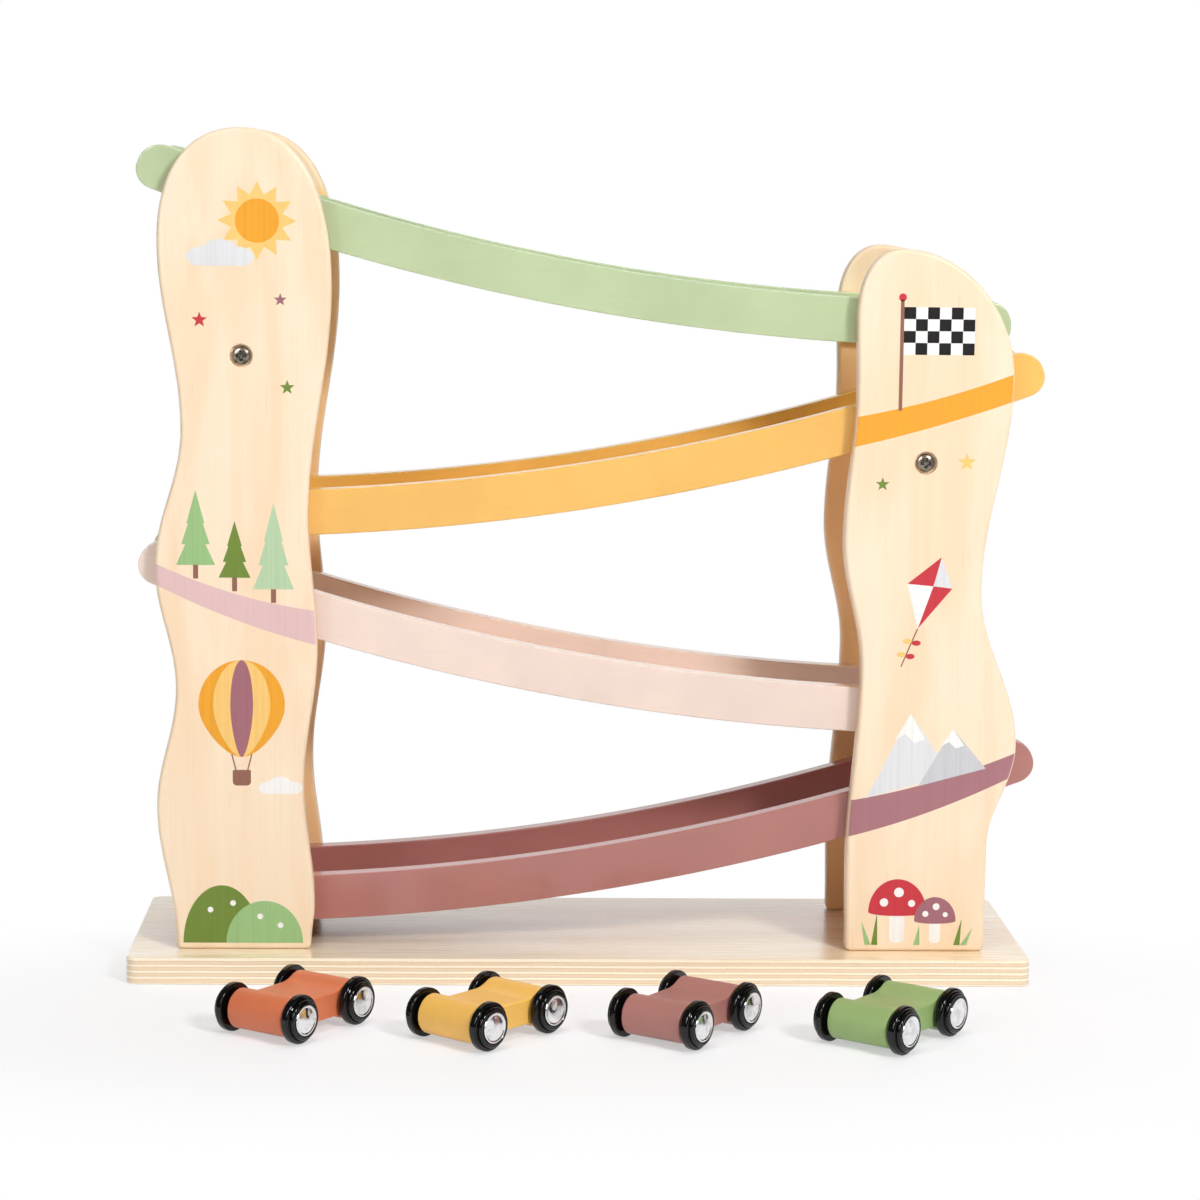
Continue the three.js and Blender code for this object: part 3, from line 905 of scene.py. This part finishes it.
class Pigment:
    """Colours of the printed inks."""

    ORANGE = (243, 168, 52)
    GOLD = (251, 205, 122)
    LEAF = (158, 196, 134)
    MINT = (186, 212, 172)
    OLIVE = (118, 142, 62)
    RED = (206, 62, 72)
    PLUM = (166, 110, 120)
    BARK = (150, 104, 88)
    CLOUD = (228, 228, 230)
    STONE = (206, 206, 210)
    WHITE = (248, 246, 243)
    BLACK = (34, 31, 32)


@dataclass
class Tower:
    """A tower: two wavy panels, the cross bar between them and the screws that hold it all.

    Edge points are [height over the base board, distance from the centre line] of the wavy edges'
    turning points. Shade is the height up to which the panels' inner faces carry painted warm shade.
    """

    name: str
    x: float
    left: Sequence[Pair]
    crown: Pair
    fullness: Pair
    right: Sequence[Pair]
    bar_height: float
    shade: float
    bands: Sequence[Band] = ()
    patches: list[Patch] = field(default_factory=list)
    foot: float = 12.0
    foot_radius: float = 2.5
    wave: float = 0.37
    round: float = 0.5523
    inner: float = 36.25
    outer: float = 45.25
    rim: float = 2.0
    recess: float = 5.0
    recess_depth: float = 2.8
    recess_flare: float = 0.25
    bar_radius: float = 9.0
    bar_rim: float = 0.6
    film: float = 0.04
    film_step: float = 0.03
    film_root: float = 0.02
    steps: int = 26
    birch: Veneer = Veneer(
        "panel birch", (252, 230, 201), (248, 219, 184), Axis.Z, Axis.Y, 45.25, 1.5, inside=36.25
    )

    def outline(self) -> Array:
        """The panel's outline: cubic curves that stand upright at each turning point, and a full crown.

        Returns:
            Points across and up.
        """
        lift = np.array([0.0, self.foot])
        left = np.array([[self.x + off, height] for height, off in self.left]) + lift
        right = np.array([[self.x + off, height] for height, off in self.right]) + lift
        crown = np.array([self.x + self.crown[1], self.crown[0]]) + lift
        up, out = np.array([0, self.foot_radius]), np.array([self.foot_radius, 0])
        rising = np.concatenate([[left[0] + up], left[1:]])
        falling = np.concatenate([right[:-1], [right[-1] + up]])
        curves = [self.corner(left[0] + out, left[0], left[0] + up), self.swings(rising)]
        for start, end, full in zip((left[-1], crown), (crown, right[0]), self.fullness):
            tall, wide = np.array([0, end[1] - start[1]]), np.array([end[0] - start[0], 0])
            first, last = (wide, tall) if start is crown else (tall, wide)
            curves.append(np.array([[start, start + full * first, end - full * last, end]]))
        curves += [self.swings(falling), self.corner(right[-1] + up, right[-1], right[-1] - out)]
        points = bezier(np.concatenate(curves), self.steps)
        return np.concatenate([points, [right[-1] - out]])

    def corner(self, start: Array, tip: Array, end: Array) -> Array:
        """A near circular curve round a corner."""
        first, last = start + self.round * (tip - start), end + self.round * (tip - end)
        return np.array([[start, first, last, end]])

    def swings(self, points: Array) -> Array:
        """Curves between turning points, upright at both ends."""
        rise = np.zeros((len(points) - 1, 2))
        rise[:, 1] = self.wave * np.diff(points[:, 1])
        return np.stack([points[:-1], points[:-1] + rise, points[1:] - rise, points[1:]], 1)

    def feet(self) -> list[Pair]:
        """X and Y of the screws under the front and the rear panel."""
        middle = (self.inner + self.outer) / 2
        return [(self.x, -middle), (self.x, middle)]

    def build(self) -> None:
        """Makes the panels, the cross bar, the screws and the print."""
        wide, deep, flare = self.recess, self.recess_depth, self.recess_flare
        rows = ((wide + flare, 0.0), (wide, flare), (wide, deep), (0.0, deep))
        hole = [Bore((self.x, self.bar_height), rows, True)]
        board = plate(self.outline(), self.inner, self.outer, self.rim, 7, hole)
        bare = self.birch.material(suffix=f" {self.name} rear", shade=self.shade)
        printed = self.birch.material(self.x, self.bands, f" {self.name} front", self.shade)
        for side, axes, material in (("front", TO_FRONT, printed), ("rear", TO_BACK, bare)):
            node = f"{self.name}_{side}_panel"
            show(board.laid(axes), f"{node}_veneered", material, TRACK, node, "birch")
        self.build_bar()
        self.build_screws()
        self.build_print()

    def build_bar(self) -> None:
        """Makes the cross bar."""
        circle = Motif.disc(self.x, self.bar_height, self.bar_radius, count=64)
        bar = plate(circle, -self.inner, self.inner, self.bar_rim, 3).laid(TO_BACK)
        colours = (252, 230, 198), (246, 214, 176)
        dowel = Veneer(f"dowel birch {self.name}", *colours, Axis.Y, Axis.Y, 0.0, 60.0)
        node = f"{self.name}_cross_bar"
        show(bar, f"{node}_dowel", dowel.material(), TRACK, node, "birch")

    def build_screws(self) -> None:
        """Makes the screws at the cross bar's ends and under the panels."""
        plated = Metal(f"plated steel {self.name}", (150, 142, 131), 0.27, 0.5).material()
        seat = self.outer - self.recess_depth
        pan = Screw(head=4.0, seat=seat, wall=1.0, dome=1.4, tip=self.inner - 20).shell()
        sunk = Screw(head=4.0, seat=-0.6, wall=0.0, dome=0.02, tip=-self.foot - 26, cone=2.6).shell()
        facings = TO_FRONT, HALF_TURN @ TO_FRONT
        for side, facing, (x, y) in zip(("front", "rear"), facings, self.feet()):
            for shell, axes, shift, kind in (
                (pan, facing, (self.x, 0, self.bar_height), "screw"),
                (sunk, DOWNWARDS, (x, y, 0), "foot_screw"),
            ):
                node = f"{self.name}_{side}_{kind}"
                show(shell.laid(axes, shift), f"{node}_plated", plated, TRACK, node, "steel")

    def build_print(self) -> None:
        """Makes the print: each patch is a thin film of ink on the front panel's face."""
        films = []
        for patch in self.patches:
            thickness = self.film + self.film_step * patch.layer
            film = plate(patch.outline + [self.x, 0], -self.film_root, thickness)
            film.ink = np.tile(linear(patch.ink)[:3], (len(film.points), 1))
            films.append(film.laid(TO_FRONT, (0, -self.outer, 0)))
        ink = Ink(f"ink {self.name}").material()
        show(Shell.joined(films), f"{self.name}_panel_print", ink, TRACK)


@dataclass
class Ramp:
    """A ramp: two rails and a floor bent to one arc, and the stop over its drop.

    Run is measured along X from the arc's level point, downhill, and lift from the rails' underside.
    """

    name: str
    descent: int
    level_x: float
    level_z: float
    paint: Colour
    runs_out: bool = False
    radius: float = 1040.0
    height: float = 20.0
    inner: float = 27.25
    outer: float = 36.25
    upper_run: float = -371.0
    lower_run: float = 15.0
    top_nose: float = 10.0
    low_nose: float = 8.5
    floor_lift: Pair = (2.0, 6.0)
    floor_edge: float = 0.4
    stop_run: Pair = (0.0, 9.0)
    stop_edge: float = 1.5
    drop: float = 62.0
    setback: float = 8.0
    rim: float = 0.7
    tuck: float = 0.05

    def bent(self, flat: Array) -> Array:
        """Bends points of run and lift: they swing about the arc's centre by asin(run / radius)."""
        angle = np.arcsin(flat[:, 0] / self.radius)
        reach = self.radius - flat[:, 1]
        x = self.level_x + self.descent * reach * np.sin(angle)
        return paired(x, self.level_z + self.radius - reach * np.cos(angle))

    def between(self, outline: Array) -> Shell:
        """A piece that spans the gap between the rails and tucks a little way into them."""
        reach = self.inner + self.tuck
        return plate(self.bent(outline), -reach, reach).laid(TO_BACK)

    def build(self) -> None:
        """Makes the rails, the floor and the stop."""
        name = f"{self.name}_ramp"
        finish = Paint(f"{self.name} ramp paint", self.paint, coat=0.8).material()
        look = finish, TRACK
        slot = f"{self.name}_paint"
        ends = (self.upper_run, 0.0), (self.lower_run, self.height)
        strip = self.bent(rounded_strip(*ends, self.low_nose, self.top_nose, 16, 90))
        rail = plate(strip, self.inner, self.outer, self.rim, 4)
        for side, axes in (("front", TO_FRONT), ("rear", TO_BACK)):
            node = f"{name}_{side}_rail"
            show(rail.laid(axes), f"{node}_painted", *look, node, slot)
        low, high = self.floor_lift
        start, stop = self.stop_run
        end = stop if self.runs_out else start - self.drop
        ends = (self.upper_run + self.setback, low), (end, high)
        floor = rounded_strip(*ends, self.floor_edge, self.floor_edge, 3, 80)
        show(self.between(floor), f"{name}_floor_painted", *look, f"{name}_floor", slot)
        if not self.runs_out:
            ends = (start, low), (stop, self.height)
            block = rounded_strip(*ends, self.stop_edge, self.stop_edge, 8)
            show(self.between(block), f"{name}_stop_painted", *look, f"{name}_stop", slot)


@dataclass
class Car:
    """A small car: a waisted wooden body, two axles with domed caps and four stepped wheels.

    The cap's rim is [radius over the cap's, depth past its back] of its rolled edge.
    """

    name: str
    x: float
    y: float
    heading: float
    paint: Colour
    wheel_radius: float = 10.25
    wheelbase: float = 38.0
    lobe: float = 8.45
    waist: float = 10.8
    hollow: float = 15.0
    width: float = 28.6
    rim: float = 0.9
    wheel_gap: float = 1.8
    wheel_width: float = 5.0
    back_round: float = 0.5
    tread_width: float = 3.2
    tread_round: float = 0.9
    hub: float = 8.5
    hub_round: float = 0.75
    dish: float = 6.7
    dish_depth: float = 0.6
    axle: float = 1.5
    fit: float = 0.05
    cap: float = 6.5
    cap_sink: float = 0.45
    cap_rim: tuple[Pair, ...] = (
        (-0.15, 0.0), (0.0, 0.15), (0.0, 0.5), (-0.12, 0.72), (-0.4, 0.82), (-0.75, 0.74), (-1.0, 0.56)
    )
    cap_dish: float = 1.3
    cap_floor: float = 0.5
    cap_dome: float = 0.62
    sides: int = 72

    def axes(self) -> Array:
        """Axes of the car: along its heading, across its axles, up."""
        c, s = math.cos(math.radians(self.heading)), math.sin(math.radians(self.heading))
        return np.array([[c, -s, 0], [s, c, 0], [0, 0, 1.0]])

    def placed(self, shell: Shell, axes: Array, shift: Sequence[float] = (0, 0, 0)) -> Shell:
        """Lays a shell out in the car, and the car in the frame."""
        return shell.laid(axes, shift).laid(self.axes(), (self.x, self.y, self.wheel_radius))

    def outline(self) -> Array:
        """The body's side: two round lobes drawn in to a level waist by arcs that touch both."""
        half, lobe, hollow, quarter = self.wheelbase / 2, self.lobe, self.hollow, np.pi / 2
        rise = self.waist / 2 + hollow
        inset = half - math.sqrt((lobe + hollow) ** 2 - rise**2)
        touch = math.atan2(rise, inset - half)
        return np.concatenate(
            [
                arc((half, 0), lobe, -touch, touch, 40),
                arc((inset, rise), hollow, touch - np.pi, -quarter, 16),
                arc((-inset, rise), hollow, -quarter, -touch, 16),
                arc((-half, 0), lobe, np.pi - touch, np.pi + touch, 40),
                arc((-inset, -rise), hollow, touch, quarter, 16),
                arc((inset, -rise), hollow, quarter, np.pi - touch, 16),
            ]
        )

    def wheel(self) -> Shell:
        """A wheel from its inner face outwards: round tread, groove, round hub and the cap's dish.

        Returns:
            The wheel about its axis.
        """
        radius, width, tread = self.wheel_radius, self.wheel_width, self.tread_width
        hub, dish, bore = self.hub, self.dish, self.axle + self.fit
        angle = np.linspace(0, np.pi / 2, 6)
        cos, sin = np.cos(angle), np.sin(angle)
        back = paired(radius + self.back_round * (sin - 1), self.back_round * (1 - cos))
        outer = paired(radius + self.tread_round * (cos - 1), tread + self.tread_round * (sin - 1))
        inner = paired(hub + self.hub_round * (cos - 1), width + self.hub_round * (sin - 1))
        floor = width - self.dish_depth
        rows = [(bore, 0.3), (5.2, 0.3), (5.5, 0.0), *back.tolist(), *outer.tolist()]
        rows += [(hub + 0.4, tread), (hub + 0.2, tread - 0.3), (hub, tread - 0.1), *inner.tolist()]
        rows += [(dish + 0.35, width), (dish + 0.05, width - 0.25), (dish, floor), (bore, floor)]
        return turned([*rows, rows[0]], self.sides)

    def axle_shell(self) -> Shell:
        """An axle with a cap on each end: a rolled rim round a shallow dish with a domed middle.

        Returns:
            The axle about its axis.
        """
        back = self.width / 2 + self.wheel_gap + self.wheel_width - self.cap_sink
        reach, floor = self.cap - self.cap_dish, back + self.cap_floor
        radius = np.linspace(reach, 0.25, 14)
        dome = floor + self.cap_dome * (1 - (radius / reach) ** 2)
        half = [(self.axle, back), *((self.cap + out, back + past) for out, past in self.cap_rim)]
        half += [*zip(radius.tolist(), dome.tolist()), (0.0, floor + self.cap_dome)]
        return turned([*((r, -y) for r, y in reversed(half)), *half], self.sides)

    def build(self) -> None:
        """Makes the body, the axles and the wheels."""
        name, half = f"{self.name}_car", self.width / 2
        out = half + self.wheel_gap
        paint = Paint(f"{name} paint", self.paint, Axis.Z, 0.42).material()
        body = self.placed(plate(self.outline(), -half, half, self.rim, 5), TO_BACK)
        show(body, f"{name}_body_painted", paint, name, f"{name}_body", f"{name}_paint")
        bright = Metal(f"{name} caps", (236, 236, 238), 0.1, 0.08).material()
        black = Plastic(f"{name} wheels", (7, 7, 8), 0.04).material()
        for end, x in (("front", self.wheelbase / 2), ("rear", -self.wheelbase / 2)):
            wheels = f"{name}_{end}_wheels"
            axle = self.placed(self.axle_shell(), TO_BACK, (x, 0, 0))
            show(axle, f"{name}_{end}_axle_capped", bright, wheels, f"{name}_{end}_axle", "chrome")
            for hand, turn, side in (("left", FLAT, 1), ("right", HALF_TURN, -1)):
                node = f"{name}_{end}_{hand}_wheel"
                wheel = self.placed(self.wheel(), turn @ TO_BACK, (x, side * out, 0))
                show(wheel, f"{node}_moulded", black, wheels, node, "black_plastic")


@dataclass(frozen=True)
class Lamp:
    """A square area lamp: its place and side in metres, its power in watts, and where it shows."""

    name: str
    place: Triple
    side: float
    power: float
    lights: bool = True
    glints: bool = True


@dataclass
class Studio:
    """A pale floor without a horizon, soft lamps and the camera at the photograph's angle.

    In reflections the room is white behind the object and dim in front of it. The floor catches
    shadow in an oval about the object, which the last values scale, shift and fade.
    """

    picture: float = 1200.0
    focal_pixels: float = 3261.07
    sensor: float = 36.0
    eye: Triple = (-46.37, -1467.74, 356.08)
    yaw: float = 0.0377151
    pitch: float = 0.1301067
    roll: float = 0.0122175
    lamps: tuple[Lamp, ...] = (
        Lamp("key", (1.08, -1.7, 1.4), 0.42, 31.0),
        Lamp("fill", (-1.3, -1.6, 0.9), 0.6, 7.5),
        Lamp("top", (0.1, -0.5, 2.0), 1.3, 14.0, glints=False),
        Lamp("back", (0.3, 1.8, 1.2), 1.6, 15.0, glints=False),
        Lamp("glint", (-0.9, -1.6, 1.3), 0.5, 16.0, lights=False),
    )
    aim: Triple = (0.0, -0.02, 0.16)
    ambient: float = 0.13
    mirrored: Pair = (0.12, 0.95)
    mirror_turn: Pair = (0.4, 0.9)
    floor_size: float = 8.0
    floor_drop: float = 0.0001
    floor_colour: Colour = (250, 250, 252)
    oval: Triple = (0.9, 2.0, 0.0)
    oval_shift: Triple = (0.0, 0.24, 0.0)
    oval_reach: Pair = (0.12, 0.42)
    oval_white: Pair = (0.46, 1.0)

    def build(self) -> None:
        """Sets the view, and makes the floor, the world, the lamps and the camera."""
        bpy.context.scene.view_settings.view_transform = "Standard"
        self.build_floor()
        self.build_world()
        for lamp in self.lamps:
            self.hang(lamp)
        self.build_camera()

    def build_floor(self) -> None:
        """Makes the floor, which catches shadow near the object and is plain white further off."""
        half = self.floor_size / 2
        corner = np.array([[-1, -1], [1, -1], [1, 1], [-1, 1]]) * half
        mesh = bpy.data.meshes.new("floor")
        level = np.full(4, -self.floor_drop)
        mesh.from_pydata(np.column_stack([corner, level]).tolist(), [], [(0, 1, 2, 3)])
        bench = Bench.material("floor")
        bench.dress(Base_Color=linear(self.floor_colour), Roughness=0.85)
        about = bench.drawn_out(self.oval, self.oval_shift)
        away = bench.add("ShaderNodeVectorMath", {0: about}, operation="LENGTH").outputs["Value"]
        white = bench.eased(away, *self.oval_reach, *self.oval_white)
        share = bench.maths("MULTIPLY", white, self.seen(bench))
        glow = bench.add("ShaderNodeEmission", {"Color": (1, 1, 1, 1), "Strength": 1.0}).outputs[0]
        mixed = {0: share, 1: bench.shader.outputs[0], 2: glow}
        surface = bench.add("ShaderNodeMixShader", mixed).outputs[0]
        bench.feed(bench.nodes["Material Output"].inputs["Surface"], surface)
        mesh.materials.append(bench.owner)
        floor = bpy.data.objects.new("floor", mesh)
        bpy.context.scene.collection.objects.link(floor)

    @staticmethod
    def seen(bench: Bench) -> Socket:
        """1 for rays from the camera, in reflections and through glass."""
        path = bench.add("ShaderNodeLightPath", {})
        rays = [path.outputs[f"Is {kind} Ray"] for kind in ("Camera", "Glossy", "Transmission")]
        return bench.maths("MAXIMUM", bench.maths("MAXIMUM", *rays[:2]), rays[2])

    def build_world(self) -> None:
        """Makes a white world: full in view, dimmer in reflections and where it lights the object."""
        bench = Bench(bpy.data.worlds.new("studio"), "Background", "Generated")
        bpy.context.scene.world = bench.owner
        room = bench.eased(bench.part_of_place(Axis.Y), *self.mirror_turn, *self.mirrored)
        path = bench.add("ShaderNodeLightPath", {})
        strength: Value = self.ambient
        for kind, level in (("Glossy", room), ("Camera", 1.0), ("Transmission", 1.0)):
            ray = path.outputs[f"Is {kind} Ray"]
            step = {"Value": ray, "To Min": strength, "To Max": level}
            strength = bench.add("ShaderNodeMapRange", step).outputs[0]
        bench.dress(Color=(1, 1, 1, 1), Strength=strength)

    def hang(self, lamp: Lamp) -> None:
        """Adds a lamp that looks at the middle of the track."""
        data = bpy.data.lights.new(lamp.name, "AREA")
        data.size, data.energy = lamp.side, lamp.power
        made = bpy.data.objects.new(lamp.name, data)
        made.visible_diffuse, made.visible_glossy = lamp.lights, lamp.glints
        back = np.array(lamp.place) - np.array(self.aim)
        back /= np.linalg.norm(back)
        side = np.cross([0.0, 1.0, 0.001], back)
        side /= np.linalg.norm(side)
        made.matrix_world = self.seat(side, np.cross(back, side), back, lamp.place)
        bpy.context.scene.collection.objects.link(made)

    @staticmethod
    def seat(side: Array, up: Array, back: Array, place: Sequence[float]) -> Matrix:
        """Matrix of an object whose axes and place are given."""
        made = np.eye(4)
        made[:3, 0], made[:3, 1], made[:3, 2], made[:3, 3] = side, up, back, place
        return Matrix(made.tolist())

    def build_camera(self) -> None:
        """Makes the camera from its place, its yaw, pitch and roll, and its focal length in pixels."""
        cos, sin = math.cos, math.sin
        cy, sy, cp, sp = cos(self.yaw), sin(self.yaw), cos(self.pitch), sin(self.pitch)
        ahead = np.array([sy * cp, cy * cp, -sp])
        level = np.array([cy, -sy, 0.0])
        rise = np.cross(level, ahead)
        side = cos(self.roll) * level + sin(self.roll) * rise
        up = -sin(self.roll) * level + cos(self.roll) * rise
        data = bpy.data.cameras.new("camera")
        data.sensor_width = self.sensor
        data.lens = self.sensor * self.focal_pixels / self.picture
        camera = bpy.data.objects.new("camera", data)
        camera.matrix_world = self.seat(side, up, -ahead, np.array(self.eye) * MM)
        bpy.context.scene.collection.objects.link(camera)
        bpy.context.scene.camera = camera


def left_print() -> list[Patch]:
    """The tall tower's print: sun and cloud, fir trees on the band, a balloon and low hills.

    Returns:
        Its patches.
    """
    m, p = Motif, Pigment
    patches = [
        Patch(m.star(7, 334, 17, 11.5, 12), p.GOLD),
        Patch(m.disc(7, 334, 9.5), p.ORANGE, 1),
        Patch(m.cloud(-9, 317, 30, 9), p.CLOUD, 2),
        Patch(m.star(-18, 291, 3.6, 1.5, 5), p.RED),
        Patch(m.star(17, 300, 3.0, 1.25, 5), p.PLUM),
        Patch(m.star(20, 262, 3.4, 1.4, 5), p.OLIVE),
    ]
    trees = (-20, 181, 17, 33, p.LEAF), (-3, 175.5, 14, 25, p.OLIVE), (14, 170.5, 18, 38, p.MINT)
    for x, z, width, height, ink in trees:
        patches.append(Patch(m.bar((x, z - 3), (x, z + 5), 2.2), p.BARK))
        patches.append(Patch(m.pine(x, z + 3, width, height), ink, 1))
    for width, ink, layer in ((38, p.ORANGE, 0), (25, p.GOLD, 1), (10, p.PLUM, 2)):
        patches.append(Patch(m.gore(0, 122, width, 40), ink, layer))
    patches += [
        Patch(m.bar((-4.4, 100), (-2.6, 93), 0.6), p.BARK),
        Patch(m.bar((4.4, 100), (2.6, 93), 0.6), p.BARK),
        Patch(rounded_strip((-4, 86), (4, 93), 1.8, 0.6, 6), p.BARK, 1),
        Patch(m.cloud(17, 84, 20, 6), p.WHITE),
        Patch(m.dome(-9, 15, 34, 26, 0), p.OLIVE),
        Patch(m.dome(10, 15, 34, 19, 0), p.LEAF, 1),
    ]
    for x, z in ((-14, 30), (-4, 33), (8, 27), (17, 23)):
        patches.append(Patch(m.disc(x, z, 1.3, count=20), p.WHITE, 2))
    return patches


def right_print() -> list[Patch]:
    """The lower tower's print: a chequered flag on the band, a kite, mountains and mushrooms.

    Returns:
        Its patches.
    """
    m, p = Motif, Pigment
    pole, knob = m.bar((-12, 254.5), (-12, 303), 1.6), m.disc(-12, 304, 1.7)
    patches = [Patch(pole, p.BARK, 1), Patch(knob, p.RED, 1)]
    side = 5.2
    square = np.array([[0, 0], [1, 0], [1, 1], [0, 1]]) * side
    for column, row in np.ndindex(6, 4):
        ink = p.BLACK if (column + row) % 2 else p.WHITE
        patches.append(Patch(square + [-11.2 + column * side, 279 + row * side], ink))
    patches.append(Patch(m.star(18, 232, 4.2, 1.75, 5), p.GOLD))
    patches.append(Patch(m.star(-19, 222, 3.2, 1.3, 5), p.OLIVE))
    tip, foot, west, east, heart = (8, 190), (-2, 158), (-7, 178), (13, 176), (4.6, 177)
    panes = ((tip, west, heart), p.RED), ((tip, heart, east), p.CLOUD)
    panes += ((west, foot, heart), p.WHITE), ((heart, foot, east), p.RED)
    for corners, ink in panes:
        patches.append(Patch(np.array(corners, float), ink))
    patches.append(Patch(m.bar(foot, (-9, 141), 0.6), p.BARK))
    for x, z in ((-4.4, 152), (-7, 146)):
        for hand, ink in ((-1, p.GOLD), (1, p.RED)):
            patches.append(Patch(m.disc(x + 2 * hand, z - 0.4 * hand, 2.0, 1.2, 20), ink, 1))
    snow = np.array([[0, 0], [-0.36, -0.36], [-0.12, -0.27], [0.1, -0.4], [0.34, -0.34]])
    peaks = (-4, 86.8, 19, 33, p.CLOUD, 1), (15, 91.2, 15, 22, p.STONE, 2)
    for x, z, half, height, ink, layer in peaks:
        top = [x, z + height]
        slope = np.array([[x - half, z - 0.26 * half], [x + half, z + 0.28 * half], top])
        patches.append(Patch(slope, ink, layer))
        patches.append(Patch(snow * [half, height] + top, p.WHITE, layer + 2))
    for x, z, size, ink, layer in ((-8, 16, 1.0, p.RED, 1), (9, 16, 0.72, p.PLUM, 3)):
        low, high = (x - 3.4 * size, z), (x + 3.4 * size, z + 17 * size)
        patches.append(Patch(rounded_strip(low, high, 2.4 * size, 1.0, 6), p.WHITE))
        patches.append(Patch(m.dome(x, z + 14 * size, 26 * size, 15 * size), ink, layer))
        for dx, dz, radius in ((-6, 4.4, 1.9), (0.6, 9, 2.2), (6.4, 4, 1.6)):
            spot = m.disc(x + dx * size, z + (14 + dz) * size, radius * size, count=24)
            patches.append(Patch(spot, p.WHITE, layer + 1))
    blades = (-21, -3, 11, p.LEAF), (-18, 1, 15, p.OLIVE), (1, 1, 9, p.LEAF)
    blades += (19, 2, 12, p.OLIVE), (22, 4, 8, p.LEAF)
    for x, lean, height, ink in blades:
        blade = np.array([[x - 1.4, 15], [x + 1.4, 15], [x + lean, 15 + height]])
        patches.append(Patch(blade, ink, 2))
    return patches


def towers() -> list[Tower]:
    """The two towers, left and right."""
    return [
        Tower(
            "left",
            -150.0,
            ((0, -29), (64, -37.5), (117, -29), (171, -38), (231, -26.5), (313, -36.5)),
            (362, 0),
            (0.63, 0.63),
            ((294, 39), (193, 29), (135, 33), (73, 27), (20, 32), (0, 30.5)),
            275.66,
            345.0,
            [Band((181.1, 170.6, 164.4), (171.5, 158.9, 149.6), (228, 190, 188))],
            left_print(),
        ),
        Tower(
            "right",
            150.0,
            ((0, -31), (40, -31.5), (128, -26.5), (185, -35.3), (251, -30.7), (283, -31.3)),
            (313, -12),
            (0.6, 0.54),
            ((256, 38.3), (163, 26.2), (93.5, 43.5), (48, 31.5), (0, 31.3)),
            231.46,
            300.0,
            [
                Band((251.7, 258.5, 267.9), (238.7, 246.6, 256.1), (250, 167, 40)),
                Band((80.7, 87.4, 97.2), (64.5, 73.7, 86.0), (170, 115, 122)),
            ],
            right_print(),
        ),
    ]


def ramps() -> list[Ramp]:
    """The four ramps, from the bottom up."""
    return [
        Ramp("mauve", -1, -165.5, 22.5, (178, 116, 108), True),
        Ramp("pink", 1, 172.5, 109.03, (240, 217, 204)),
        Ramp("yellow", -1, -165.5, 195.56, (246, 189, 92)),
        Ramp("green", 1, 172.5, 282.09, (190, 207, 162)),
    ]


def cars() -> list[Car]:
    """The four cars, from left to right."""
    return [
        Car("terracotta", -121.5, -133.2, 54.2, (216, 118, 76)),
        Car("mustard", -41.3, -143.8, 48.2, (248, 194, 95)),
        Car("mauve", 41.5, -141.3, 53.9, (174, 117, 109)),
        Car("green", 126.9, -148.5, 51.2, (150, 178, 112)),
    ]


def main() -> None:
    """Builds the studio and every sub-assembly in order."""
    logging.basicConfig(level=logging.INFO, format="%(name)s: %(message)s")
    Studio().build()
    standing = towers()
    Board().build([place for tower in standing for place in tower.feet()])
    for group in (standing, ramps(), cars()):
        for part in group:
            part.build()


if __name__ == "__main__":
    main()
